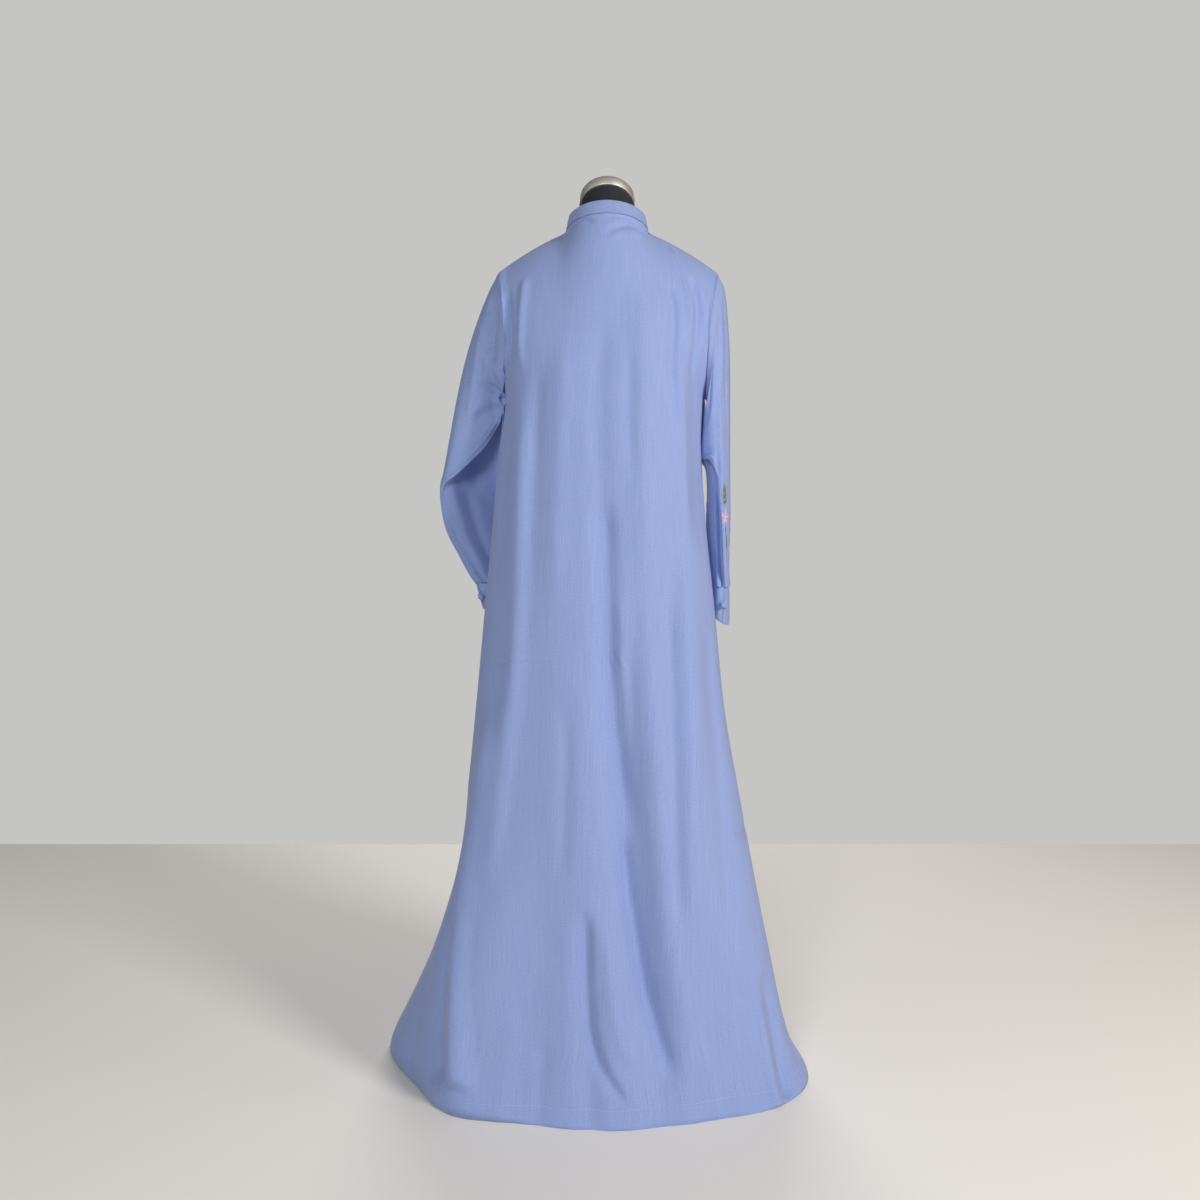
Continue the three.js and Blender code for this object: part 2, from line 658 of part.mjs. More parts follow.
// The metal cap continues the neck along its own lean, a lip wider than the neck.
function capRings(neckRing) {
  const centre = neckRing.reduce((sum, p) => sum.add(p), new THREE.Vector3()).divideScalar(neckRing.length);
  const tilt = radians(form.neckTilt);
  const axis = new THREE.Vector3(0, -Math.sin(tilt), Math.cos(tilt));
  const grown = (grow, up) =>
    neckRing.map((point) => {
      const away = point.clone().sub(centre);
      const wide = away.length() + grow;
      return away.setLength(wide).add(centre).addScaledVector(axis, up);
    });
  const { capLip, capHeight } = form;
  return [
    grown(capLip - 1, seamGap),
    grown(capLip, seamGap + 1),
    grown(capLip, seamGap + capHeight - 2),
    grown(capLip - 2, seamGap + capHeight),
  ];
}

function latheSolid(profile, segments) {
  const geometry = new THREE.LatheGeometry(profile.map(([r, z]) => new THREE.Vector2(r, z)), segments);
  return geometry.rotateX(Math.PI / 2);
}

function poleGeometry() {
  const bottom = form.baseHeight + seamGap;
  const top = formSections[0].height - seamGap;
  const pole = new THREE.CylinderGeometry(form.poleRadius, form.poleRadius, top - bottom, 20);
  return pole.rotateX(Math.PI / 2).translate(0, 0, (top + bottom) / 2);
}

function baseGeometry() {
  const { baseRadius, baseHeight, baseRimHeight } = form;
  const profile = [
    [0, 0],
    [baseRadius, 0],
    [baseRadius, baseRimHeight],
    [baseRadius * 0.4, baseHeight],
    [0, baseHeight],
  ];
  return latheSolid(profile, 36);
}

// ---- Materials ----
const cloth = new THREE.MeshStandardMaterial({ color: 0x8fa6d6, roughness: 0.8, metalness: 0 });
const clothTrim = new THREE.MeshStandardMaterial({ color: 0x86a0d4, roughness: 0.75, metalness: 0 });
const formCloth = new THREE.MeshStandardMaterial({ color: 0x1d2024, roughness: 0.9, metalness: 0 });
const steel = new THREE.MeshStandardMaterial({ color: 0xb9b6ad, roughness: 0.35, metalness: 0.9 });
const baseSteel = new THREE.MeshStandardMaterial({ color: 0x2b2c2e, roughness: 0.5, metalness: 0.6 });

// ---- Assembly ----
const grids = {
  back_panel: panelGrid("back"),
  front_panel: panelGrid("front"),
  sleeve_left: sleeveGrid("left"),
  sleeve_right: sleeveGrid("right"),
  collar: collarGrid(),
  cuff_left: cuffGrid("left"),
  cuff_right: cuffGrid("right"),
};
Object.values(grids).forEach(addNormals);
shareSeamNormals(Object.values(grids));

const dress = new THREE.Group();
function add(name, geometry, material) {
  const mesh = new THREE.Mesh(geometry, material);
  mesh.name = name;
  dress.add(mesh);
}

for (const [name, grid] of Object.entries(grids)) {
  const wall = wallOf(grid);
  add(name, name === "front_panel" ? cutSlit(wall) : wall, cloth);
}

for (const name of ["cuff_left", "cuff_right", "collar"]) {
  const [kind, hand] = name.split("_");
  const end = hand ? `_${hand}` : "";
  add(`${kind}_button${end}`, buttonOn(grids[name]), clothTrim);
  add(`${kind}_loop${end}`, loopOn(grids[name]), clothTrim);
}

const rings = formRings();
add("form_bust", skinOver(rings), formCloth);
add("form_neck_cap", skinOver(capRings(rings[rings.length - 1])), steel);
add("form_pole", poleGeometry(), steel);
add("form_base", baseGeometry(), baseSteel);

export default dress;
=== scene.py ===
import math

import bpy
import numpy as np
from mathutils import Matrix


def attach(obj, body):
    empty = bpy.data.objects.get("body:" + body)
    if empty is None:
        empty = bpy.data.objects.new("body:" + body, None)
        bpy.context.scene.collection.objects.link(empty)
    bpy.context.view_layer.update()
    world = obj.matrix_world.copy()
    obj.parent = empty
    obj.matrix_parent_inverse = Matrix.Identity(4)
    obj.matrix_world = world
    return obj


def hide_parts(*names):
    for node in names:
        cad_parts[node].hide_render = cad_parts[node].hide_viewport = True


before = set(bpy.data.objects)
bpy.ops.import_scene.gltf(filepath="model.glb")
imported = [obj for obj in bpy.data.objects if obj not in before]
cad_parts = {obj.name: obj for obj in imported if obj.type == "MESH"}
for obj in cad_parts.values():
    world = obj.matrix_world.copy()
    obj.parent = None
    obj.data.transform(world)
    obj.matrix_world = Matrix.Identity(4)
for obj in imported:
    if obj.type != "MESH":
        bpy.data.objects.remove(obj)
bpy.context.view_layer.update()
print("frame loaded")

# camera
view = {"place": (0.012, 1.59, 0.776), "lens": 28.2}
camera = bpy.data.objects.new("camera", bpy.data.cameras.new("camera"))
camera.location = view["place"]
camera.rotation_euler = (math.pi / 2, 0, math.pi)
camera.data.lens = view["lens"]
camera.data.sensor_width = 36
bpy.context.collection.objects.link(camera)
bpy.context.scene.camera = camera
bpy.context.scene.view_settings.view_transform = "Standard"


# curves and steps
def softStep(t):
    # three t squared minus two t cubed, between 0 and 1
    t = np.clip(t, 0, 1)
    return t * t * (3 - 2 * t)


def curveThrough(xs, ys, x):
    # a cubic between each pair of rows, its slope at a row the harmonic mean of the slopes beside it
    xs, ys = np.asarray(xs, float), np.asarray(ys, float)
    rises = np.diff(ys) / np.diff(xs)
    before, after = np.r_[rises[0], rises], np.r_[rises, rises[-1]]
    same = before * after > 0
    slopes = np.where(same, 2 * before * after / np.where(same, before + after, 1), 0)
    i = np.clip(np.searchsorted(xs, x, side="right") - 1, 0, len(xs) - 2)
    step = xs[i + 1] - xs[i]
    t = np.clip((x - xs[i]) / step, 0, 1)
    ends = ys[i] * (1 + 2 * t) * (1 - t) ** 2 + ys[i + 1] * (3 - 2 * t) * t**2
    return ends + step * t * (1 - t) * (slopes[i] * (1 - t) - slopes[i + 1] * t)


def readTable(table, x):
    # every named column of a table as a smooth curve over its first column
    names = table["columns"].split()
    rows = np.array(table["rows"], float)
    return {name: curveThrough(rows[:, 0], rows[:, k], x) for k, name in enumerate(names) if k}


def spreadMatrix(knots, targets):
    # weights that carry values at the knots to the targets: cubic Hermite pieces with averaged slopes
    n, gaps = len(knots), np.diff(knots)
    one = np.eye(n)
    rise = (one[1:] - one[:-1]) / gaps[:, None]
    mean = (gaps[1:, None] * rise[:-1] + gaps[:-1, None] * rise[1:]) / (gaps[1:] + gaps[:-1])[:, None]
    slope = np.vstack([rise[:1], mean, rise[-1:]])
    i = np.clip(np.searchsorted(knots, targets, side="right") - 1, 0, n - 2)
    t = ((targets - knots[i]) / gaps[i])[:, None]
    bend = gaps[i][:, None] * t * (1 - t) * (slope[i] * (1 - t) - slope[i + 1] * t)
    return (1 + 2 * t) * (1 - t) ** 2 * one[i] + (3 - 2 * t) * t**2 * one[i + 1] + bend


def normalsOf(points, wraps, flip):
    # the cross product of the step along a row and the step up a column
    if wraps:
        across = np.roll(points, -1, axis=1) - np.roll(points, 1, axis=1)
    else:
        across = np.gradient(points, axis=1)
    normal = np.cross(across, np.gradient(points, axis=0))
    normal /= np.linalg.norm(normal, axis=2, keepdims=True) + 1e-9
    return -normal if flip else normal


# materials
def newMaterial(name):
    # a material with its node tree and its main shader
    material = bpy.data.materials.new(name)
    material.use_nodes = True
    tree = material.node_tree
    return material, tree, tree.nodes["Principled BSDF"]


def addNode(tree, kind, **values):
    # a node with its sockets and settings filled in by name
    node = tree.nodes.new(kind)
    for key, value in values.items():
        if key in node.inputs:
            node.inputs[key].default_value = value
        else:
            setattr(node, key, value)
    return node


def stretchedNoise(tree, vector, stretch, detail=2.0):
    # noise on coordinates that are scaled apart, so that it runs in streaks
    mapping = addNode(tree, "ShaderNodeMapping", Scale=stretch)
    noise = addNode(tree, "ShaderNodeTexNoise", Scale=1.0, Detail=detail, Roughness=0.55)
    tree.links.new(vector, mapping.inputs["Vector"])
    tree.links.new(mapping.outputs["Vector"], noise.inputs["Vector"])
    return noise.outputs["Fac"]


def mathNode(tree, operation, a, b):
    # one sum or product; a and b are numbers or outputs of other nodes
    node = addNode(tree, "ShaderNodeMath", operation=operation)
    for k, value in enumerate((a, b)):
        if isinstance(value, (int, float)):
            node.inputs[k].default_value = value
        else:
            tree.links.new(value, node.inputs[k])
    return node.outputs[0]


def weightedSum(tree, parts):
    # each value times its weight, added up
    total = 0
    for value, weight in parts:
        total = mathNode(tree, "ADD", mathNode(tree, "MULTIPLY", value, weight), total)
    return total


waveUnit = {"X": 0.31416, "DIAGONAL": 0.6283}  # the scale at which a wave texture's bands repeat every metre
chambray = {
    "deep": (0.190, 0.275, 0.575, 1),
    "pale": (0.365, 0.460, 0.765, 1),
    "twillPitch": 0.0011,
    "slub": (1150, 14, 1),
    "streak": (430, 10, 1),
    "weft": (120, 1500, 1),
    "grain": (520, 440, 1),
    "shares": {"slub": 0.5, "weft": 0.12, "streak": 0.2, "grain": 0.5, "twill": 0.2},
    "toneRange": (0.43, 1.09),
    "roughness": 0.82,
    "sheen": 0.22,
    "sheenTint": (1.0, 0.86, 0.84, 1),
    "bump": 0.28,
}


def chambrayMaterial(name, look):
    # blue warp and white weft: streaks along the warp, fainter ones across, and a fine diagonal rib
    material, tree, shader = newMaterial(name)
    uv = addNode(tree, "ShaderNodeUVMap", uv_map="grain").outputs["UV"]
    slub = stretchedNoise(tree, uv, look["slub"])
    streak = stretchedNoise(tree, uv, look["streak"], 3.0)
    weft = stretchedNoise(tree, uv, look["weft"])
    grain = stretchedNoise(tree, uv, look["grain"], 1.0)
    twill = addNode(tree, "ShaderNodeTexWave", wave_type="BANDS", bands_direction="DIAGONAL",
                    Scale=waveUnit["DIAGONAL"] / look["twillPitch"], Distortion=0.0)
    tree.links.new(uv, twill.inputs["Vector"])
    rib, shares = twill.outputs["Fac"], look["shares"]
    threads = weightedSum(tree, [(slub, shares["slub"]), (weft, shares["weft"])])
    weave = [(threads, 1), (streak, shares["streak"]), (grain, shares["grain"]), (rib, shares["twill"])]
    tone = weightedSum(tree, weave)
    ramp = addNode(tree, "ShaderNodeMapRange")
    ramp.inputs["From Min"].default_value, ramp.inputs["From Max"].default_value = look["toneRange"]
    tree.links.new(tone, ramp.inputs["Value"])
    colour = addNode(tree, "ShaderNodeMix", data_type="RGBA")
    colour.inputs[6].default_value, colour.inputs[7].default_value = look["deep"], look["pale"]
    tree.links.new(ramp.outputs["Result"], colour.inputs[0])
    tree.links.new(colour.outputs[2], shader.inputs["Base Color"])
    shader.inputs["Roughness"].default_value = look["roughness"]
    shader.inputs["Sheen Weight"].default_value = look["sheen"]
    shader.inputs["Sheen Roughness"].default_value = 0.45
    shader.inputs["Sheen Tint"].default_value = look["sheenTint"]
    shader.inputs["Specular IOR Level"].default_value = 0.25
    height = weightedSum(tree, [(rib, 0.5), (threads, 0.8)])
    bump = addNode(tree, "ShaderNodeBump", Strength=look["bump"], Distance=0.0004)
    tree.links.new(height, bump.inputs["Height"])
    tree.links.new(bump.outputs["Normal"], shader.inputs["Normal"])
    return material


clothMaterial = chambrayMaterial("chambray", chambray)
trimTint = {"deep": (0.20, 0.285, 0.585, 1), "pale": (0.37, 0.46, 0.77, 1)}
trimMaterial = chambrayMaterial("chambrayTrim", {**chambray, **trimTint})


def threadMaterial(name, colour, dark=0.8):
    # satin thread: fine noise darkens it between strands
    material, tree, shader = newMaterial(name)
    coordinates = addNode(tree, "ShaderNodeTexCoord").outputs["Object"]
    noise = stretchedNoise(tree, coordinates, (2600, 2600, 2600))
    mix = addNode(tree, "ShaderNodeMix", data_type="RGBA")
    mix.inputs[6].default_value = (*[c * dark for c in colour], 1)
    mix.inputs[7].default_value = (*colour, 1)
    tree.links.new(noise, mix.inputs[0])
    tree.links.new(mix.outputs[2], shader.inputs["Base Color"])
    shader.inputs["Roughness"].default_value = 0.42
    shader.inputs["Sheen Weight"].default_value = 0.3
    bump = addNode(tree, "ShaderNodeBump", Strength=0.3, Distance=0.0003)
    tree.links.new(noise, bump.inputs["Height"])
    tree.links.new(bump.outputs["Normal"], shader.inputs["Normal"])
    return material


# putting a surface into a mesh
def gridMesh(name, points, uv, wraps=False, flip=False, slitRow=None):
    # four-sided faces between neighbouring rows and columns; a slit parts the middle column above slitRow
    rows, cols = points.shape[:2]
    index = np.arange(rows * cols).reshape(rows, cols)
    left = index if wraps else index[:, :-1]
    right = np.roll(index, -1, axis=1) if wraps else index[:, 1:]
    vertices = points.reshape(-1, 3)
    quads = np.stack([left[:-1], right[:-1], right[1:], left[1:]], axis=-1)
    if slitRow is not None:
        middle = cols // 2
        half = slit["width"] / 2
        vertices = np.vstack([vertices, points[slitRow + 1 :, middle] + (half, 0, 0)])
        vertices[index[slitRow + 1 :, middle]] -= (half, 0, 0)
        copied = np.r_[index[: slitRow + 1, middle], rows * cols + np.arange(rows - slitRow - 1)]
        quads[:, middle, 0] = copied[:-1]
        quads[:, middle, 3] = copied[1:]
    corners = np.stack([uv[:-1, :-1], uv[:-1, 1:], uv[1:, 1:], uv[1:, :-1]], axis=-2)
    quads, corners = quads.reshape(-1, 4), corners.reshape(-1, 4, 2)
    if flip:
        quads, corners = quads[:, ::-1], corners[:, ::-1]
    mesh = bpy.data.meshes.new(name)
    mesh.from_pydata((vertices / 1000).tolist(), [], quads.tolist())
    layer = mesh.uv_layers.new(name="grain")
    layer.data.foreach_set("uv", (corners / 1000).ravel())
    mesh.polygons.foreach_set("use_smooth", np.ones(len(quads), bool))
    return mesh


def addPiece(name, mesh, material, nodes=()):
    # an object that rides on the one body and takes the place of the CAD nodes it is given
    piece = bpy.data.objects.new(name, mesh)
    bpy.context.collection.objects.link(piece)
    if not mesh.materials:
        mesh.materials.append(material)
    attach(piece, "root")
    if nodes:
        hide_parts(*nodes)
    return piece


def addThickness(piece, thickness):
    # cloth is laid inwards from its outer face
    wall = piece.modifiers.new("cloth", "SOLIDIFY")
    wall.thickness = thickness / 1000
    wall.offset = -1
    wall.use_quality_normals = True


def grainOf(points, middle):
    # across: the length along each row from the middle column; up: the length along the middle column
    along = np.linalg.norm(np.diff(points, axis=1), axis=2)
    across = np.concatenate([np.zeros((len(points), 1)), np.cumsum(along, axis=1)], axis=1)
    across -= across[:, middle : middle + 1]
    steps = np.linalg.norm(np.diff(points[:, middle], axis=0), axis=1)
    up = np.r_[0, np.cumsum(steps)]
    return np.stack([across, np.broadcast_to(up[:, None], across.shape)], axis=-1)


# the body of the dress
body = {
    "underarm": 1115,
    "columns": "height left right seamLeft seamRight back front pointLeft",
    "rows": [
        (0, 377, 331, -52, 14, 217, 204, 1.3),
        (14, 374, 322, -50, 12, 207, 196, 1.28),
        (36, 366, 309, -46, 10, 197, 190, 1.22),
        (70, 349, 297, -42, 8, 189, 184, 1.16),
        (130, 320, 283, -34, 6, 180, 178, 1.05),
        (200, 290, 269, -25, 4, 174, 174, 0.98),
        (270, 267, 255, -17, 2, 168, 170, 0.9),
        (340, 250, 242, -12, 0, 163, 167, 0.85),
        (430, 238, 225, -8, 0, 157, 163, 0.8),
        (530, 226, 207, -5, 0, 151, 159, 0.8),
        (640, 217, 190, -3, 0, 145, 155, 0.8),
        (750, 206, 181, 0, 0, 140, 152, 0.8),
        (850, 197, 172.5, 0, 0, 135, 151, 0.8),
        (950, 188, 162, 0, 0, 130, 153, 0.8),
        (1040, 180, 160, 0, 0, 126, 156, 0.8),
        (1115, 172, 165, 0, 0, 122, 155, 0.8),
    ],
    "pointRight": 0.8,
    "neckHalfWidth": 68.5,
    "neckPoint": 1397,
    "neckDepth": {"back": 73, "front": -84},
    "neckLift": {"back": 4, "front": -40},
    "neckShare": 0.3,
    "tips": (184, 186, 1329),
    "spring": 5,
    "armholeDepth": {"back": 60, "front": 54},
    "armholeHollow": 9,
    "fullness": 2.2,
    "easing": 10,
    "skirtHeights": (0, 14, 38, 78, 130, 195, 270, 355, 460, 590, 740, 890, 1020, 1115),
    "thickness": 0.9,
    "coarse": {"shoulder": 13, "neck": 11, "yoke": 11},
    "hem": {"depth": 20, "step": 0.7, "foot": 3, "head": 4},
    "sideEdge": (0.7, 9),
    "seamFade": (4, 1.6),  # how fast folds and creases fade towards the side seams
    "topFade": 3,
    "neckFade": 0.04,
    "shortFade": 12,
    "underCollar": {"swell": 1.8, "rise": 4, "reach": 12, "tuck": 0.9, "tuckReach": 2},
}

# large folds: centre at the top and at the hem, height of its start, depth, width and its share at the hem
folds = {
    "back": [
        (16, -80, 800, -21, 36, 0.3),
        (-62, -132, 760, 12, 30, 0.3),
        (40, 26, 330, -10, 18, 0.4),
        (-96, -170, 1000, 9, 44, 0.5),
        (120, 92, 860, -3, 34, 0.6),
        (176, 224, 460, 30, 60, 1),
        (-120, -160, 520, -18, 58, 1),
    ],
    "front": [
        (62, 116, 980, 15, 38, 0.9),
        (-58, -96, 940, 14, 36, 0.9),
        (6, 14, 820, -13, 36, 0.9),
        (128, 208, 860, -14, 34, 0.8),
        (-120, -186, 820, -13, 34, 0.8),
        (216, 282, 420, 10, 30, 0.8),
    ],
}

# creases that run down: depth, width, lean, fade at the top and at the foot, then places as x and height
creases = {
    "back": [
        (-5.5, 7, 0.2, 22, 40, (163, 1286), (159, 1216), (160, 1150)),
        (4.0, 7, 0.0, 20, 60, (134, 1306), (141, 1194), (136, 1130)),
        (-2.4, 5, 0.0, 20, 40, (146, 1290), (150, 1230), (147, 1170)),
        (-2.2, 4, 0.0, 8, 14, (-97, 1374), (-101, 1362), (-108, 1344)),
        (2.0, 4, 0.0, 8, 14, (-104, 1370), (-110, 1356), (-117, 1338)),
        (-2.4, 5, 0.0, 8, 16, (-110, 1366), (-118, 1352), (-130, 1332)),
        (-0.9, 2.4, 0.0, 6, 6, (1, 694), (-3, 680), (-7, 670)),
        (0.9, 2.4, 0.0, 6, 6, (-4, 692), (-8, 680), (-13, 670)),
        (-1.1, 2.4, 0.0, 6, 6, (-9, 694), (-13, 681), (-18, 671)),
        (1.0, 2.6, 0.0, 6, 6, (-16, 694), (-20, 682), (-24, 672)),
        (-0.8, 2.6, 0.0, 6, 6, (-24, 692), (-29, 680), (-34, 672)),
        (-0.6, 2.8, 0.0, 6, 6, (18, 690), (14, 680), (10, 672)),
        (-7.0, 7, 0.3, 16, 60, (-136, 1304), (-150, 1256), (-146, 1183), (-138, 1120)),
        (3.6, 6, 0.0, 16, 50, (-122, 1300), (-134, 1250), (-132, 1190)),
        (-5.0, 8, 0.2, 18, 50, (-94, 1288), (-108, 1238), (-105, 1176), (-102, 1100)),
        (-9.5, 17, 0.0, 60, 120, (-148, 1190), (-150, 1080), (-152, 960), (-160, 810)),
        (4.5, 9, 0.0, 60, 90, (-116, 1160), (-120, 1040), (-122, 940), (-128, 830)),
        (-3.0, 12, 0.0, 60, 120, (163, 1180), (165, 1060), (172, 900), (180, 760)),
        (7.0, 22, 0.0, 60, 140, (-54, 1290), (-58, 1190), (-58, 1059), (-60, 900), (-60, 740)),
        (-4.8, 18, 0.0, 90, 160, (8, 1240), (14, 1080), (8, 900), (0, 780)),
        (3.6, 17, 0.0, 90, 160, (66, 1220), (74, 1060), (80, 880), (84, 700)),
        (-3.4, 13, 0.0, 90, 140, (108, 1180), (118, 1000), (126, 820), (136, 640)),
        (-2.2, 9, 0.0, 60, 90, (-38, 1190), (-34, 1060), (-40, 940)),
        (-10.0, 18, 0.15, 60, 120, (4, 940), (0, 780), (-6, 640), (-16, 545), (-28, 450), (-36, 390)),
        (3.2, 10, 0.0, 60, 80, (-19, 800), (-20, 700), (-22, 610)),
        (6.0, 20, 0.0, 60, 120, (-62, 800), (-66, 600), (-70, 440), (-84, 250), (-104, 120)),
        (-2.5, 9, 0.0, 60, 100, (-36, 720), (-38, 620), (-42, 500)),
        (8.0, 18, -0.3, 80, 130, (-118, 880), (-123, 640), (-126, 450), (-132, 220)),
        (-5.5, 11, 0.2, 80, 130, (-97, 800), (-99, 600), (-103, 420), (-112, 240)),
        (-5.0, 13, 0.2, 80, 140, (-158, 760), (-172, 560), (-186, 380), (-204, 180)),
        (-3.5, 12, 0.0, 80, 140, (64, 640), (66, 480), (70, 300)),
        (8.0, 17, 0.1, 120, 140,
         (130, 1120), (136, 932), (138, 776), (147, 660), (160, 545), (172, 430), (186, 300)),
        (-9.0, 10, 0.3, 50, 30,
         (34, 310), (31, 250), (31, 204), (28, 146), (14, 91), (-12, 46), (-44, 16)),
        (-10.0, 13, 0.1, 80, 40,
         (-20, 440), (-34, 321), (-44, 263), (-56, 204), (-72, 146), (-88, 91), (-102, 48)),
        (4.0, 12, 0.0, 60, 30, (4, 290), (-4, 200), (-16, 130), (-40, 70)),
        (4.0, 10, 0.0, 40, 30, (30, 230), (36, 140), (28, 60)),
        (-13.0, 14, 0.0, 90, 26, (236, 470), (250, 330), (254, 213), (256, 119), (248, 20)),
        (13.0, 17, -0.3, 110, 20,
         (186, 622), (196, 520), (210, 395), (220, 321), (221, 204), (221, 91), (214, 24)),
        (-2.0, 10, 0.2, 50, 14, (196, 300), (196, 215), (192, 110), (184, 24)),
        (-3.5, 12, 0.0, 40, 10, (292, 190), (306, 110), (322, 20)),
        (-9.0, 10, 0.2, 40, 6, (-252, 190), (-268, 100), (-282, 8)),
        (6.0, 10, 0.0, 30, 6, (-232, 150), (-246, 80), (-258, 4)),
        (3.0, 12, 0.0, 40, 4, (-146, 110), (-156, 50), (-166, 2)),
        (-2.8, 11, 0.0, 30, 4, (96, 120), (100, 60), (104, 2)),
        (2.6, 13, 0.0, 40, 4, (142, 150), (150, 70), (160, 2)),
    ],
    "front": [
        (-2.8, 10, 0.2, 20, 60, (-150, 1290), (-146, 1200), (-138, 1120)),
        (-3.0, 10, -0.2, 20, 60, (152, 1288), (146, 1196), (140, 1110)),
        (2.4, 18, 0.0, 80, 120, (88, 1180), (96, 1020), (100, 860)),
        (2.6, 18, 0.0, 80, 120, (-84, 1190), (-92, 1000), (-96, 840)),
        (-2.6, 14, 0.1, 80, 140, (40, 900), (52, 700), (70, 480), (84, 300)),
        (-2.8, 14, -0.1, 80, 140, (-36, 880), (-42, 660), (-56, 460), (-66, 280)),
        (-3.4, 14, 0.1, 60, 90, (150, 700), (170, 480), (196, 260), (214, 120)),
        (-3.2, 13, 0.1, 60, 90, (-146, 720), (-160, 500), (-180, 300), (-198, 120)),
        (4.0, 13, 0.0, 60, 10, (-214, 330), (-236, 180), (-256, 4)),
        (4.4, 14, 0.0, 60, 10, (262, 320), (284, 180), (306, 4)),
        (-4.0, 12, 0.1, 50, 8, (44, 260), (52, 130), (60, 4)),
        (3.6, 12, 0.0, 50, 8, (-34, 240), (-38, 120), (-44, 4)),
        (-3.6, 12, 0.1, 50, 8, (-128, 240), (-134, 120), (-146, 4)),
    ],
}

# creases that run across, left by folding: depth, width, fade at each end, then places as x and height
storageCreases = {
    "back": [
        (-0.9, 3.2, 12, (186, 676), (150, 678), (122, 677)),
        (0.5, 3.5, 24, (186, 681), (130, 683), (90, 683)),
        (-0.25, 4.0, 30, (120, 676), (40, 679), (-30, 677), (-150, 674)),
        (-0.6, 4.0, 24, (176, 930), (130, 929), (70, 925)),
        (0.6, 4.0, 24, (150, 934), (110, 934), (76, 930)),
        (-5.0, 9, 16, (-252, 398), (-228, 396), (-206, 404)),
        (-2.6, 4.0, 8, (62, 1392), (44, 1394), (24, 1387)),
        (-2.4, 2.6, 6, (-4, 1397), (-28, 1395), (-58, 1388)),
        (-3.6, 4.5, 10, (4, 1364), (-18, 1376), (-36, 1384), (-60, 1381)),
        (2.4, 5.0, 12, (-8, 1358), (-26, 1366), (-54, 1370)),
    ],
    "front": [
        (-0.9, 3.4, 24, (176, 677), (60, 680), (-80, 679), (-160, 676)),
        (0.9, 3.6, 24, (176, 683), (60, 686), (-80, 685), (-160, 682)),
        (-0.7, 4.0, 24, (150, 926), (40, 928), (-120, 925)),
    ],
}
slit = {"length": 210, "width": 1.2}
swelling = {"full": 0.72, "power": 1.5, "easeFrom": 0.8}  # shares of the way down a fold
ridgeRise, ridgeFall = 2.5, 5


def bodySurface(face, u, z):
    # a section's x goes with the sine and its y with a power of the cosine of a quarter turn times u
    row = readTable(body, z)
    side = 1 if face == "back" else -1
    angle = np.abs(u) * np.pi / 2
    half = np.where(u < 0, row["right"], row["left"])
    seamY = np.where(u < 0, row["seamRight"], row["seamLeft"])
    pointed = np.where(u < 0, body["pointRight"], row["pointLeft"])
    x = np.sign(u) * half * np.sin(angle)
    y = seamY + (side * row[face] - seamY) * np.clip(np.cos(angle), 0, 1) ** pointed
    return np.stack(np.broadcast_arrays(x, y, z), axis=-1)


def panelTop(face, u):
    # inside neckShare the edge is the neck ellipse, outside it a shoulder line with a low parabola's spring
    share, limit = np.abs(u), body["neckShare"]
    angle = np.clip(share / limit, 0, 1) * np.pi / 2
    middle = np.clip(np.cos(angle), 0, 1)
    neckX = np.sign(u) * body["neckHalfWidth"] * np.sin(angle)
    neckZ = body["neckPoint"] + body["neckLift"][face] * middle**1.6
    along = (share - limit) / (1 - limit)
    left, right, tipZ = body["tips"]
    tip = np.where(u < 0, right, left)
    x = np.sign(u) * (body["neckHalfWidth"] + (tip - body["neckHalfWidth"]) * along)
    z = body["neckPoint"] + (tipZ - body["neckPoint"]) * along + body["spring"] * 4 * along * (1 - along)
    onNeck = share <= limit
    return np.stack([np.where(onNeck, neckX, x), np.where(onNeck, body["neckDepth"][face] * middle, 0),
                     np.where(onNeck, neckZ, z)], axis=-1)


def yokeSurface(face, u, w):
    # from the underarm section to the top edge: y falls like a rounded quarter, bowed out at the armhole
    low = bodySurface(face, u, np.full_like(u, body["underarm"]))
    top = panelTop(face, u)
    edge, hollow = np.abs(u), np.clip(np.sin(np.pi * w), 0, 1)
    hollowed = np.sign(u) * body["armholeHollow"] * hollow * edge**3
    x = low[..., 0] + (top[..., 0] - low[..., 0]) * w - hollowed
    bow = body["armholeDepth"][face] * hollow**0.8 * edge**2.5
    fall = np.sqrt(np.clip(1 - w ** body["fullness"], 0, 1))
    y = top[..., 1] + (low[..., 1] - top[..., 1]) * fall + (bow if face == "back" else -bow)
    return np.stack([x, y, low[..., 2] + (top[..., 2] - low[..., 2]) * w], axis=-1)


def evenedOut(grid, firstRow, passes):
    # each inner point goes halfway to the lines between its neighbours, along the row and up the column
    for _ in range(passes):
        inner = grid[1:-1, 1:-1]

        def between(a, b):
            toA = np.linalg.norm(inner - a, axis=2, keepdims=True)
            toB = np.linalg.norm(inner - b, axis=2, keepdims=True)
            return a + (b - a) * toA / (toA + toB)

        along = between(grid[1:-1, :-2], grid[1:-1, 2:])
        up = between(grid[:-2, 1:-1], grid[2:, 1:-1])
        eased = (inner + (along + up) / 2) / 2
        keep = np.arange(1, len(grid) - 1) > firstRow
        grid = grid.copy()
        grid[1:-1, 1:-1][keep] = eased[keep]
    return grid


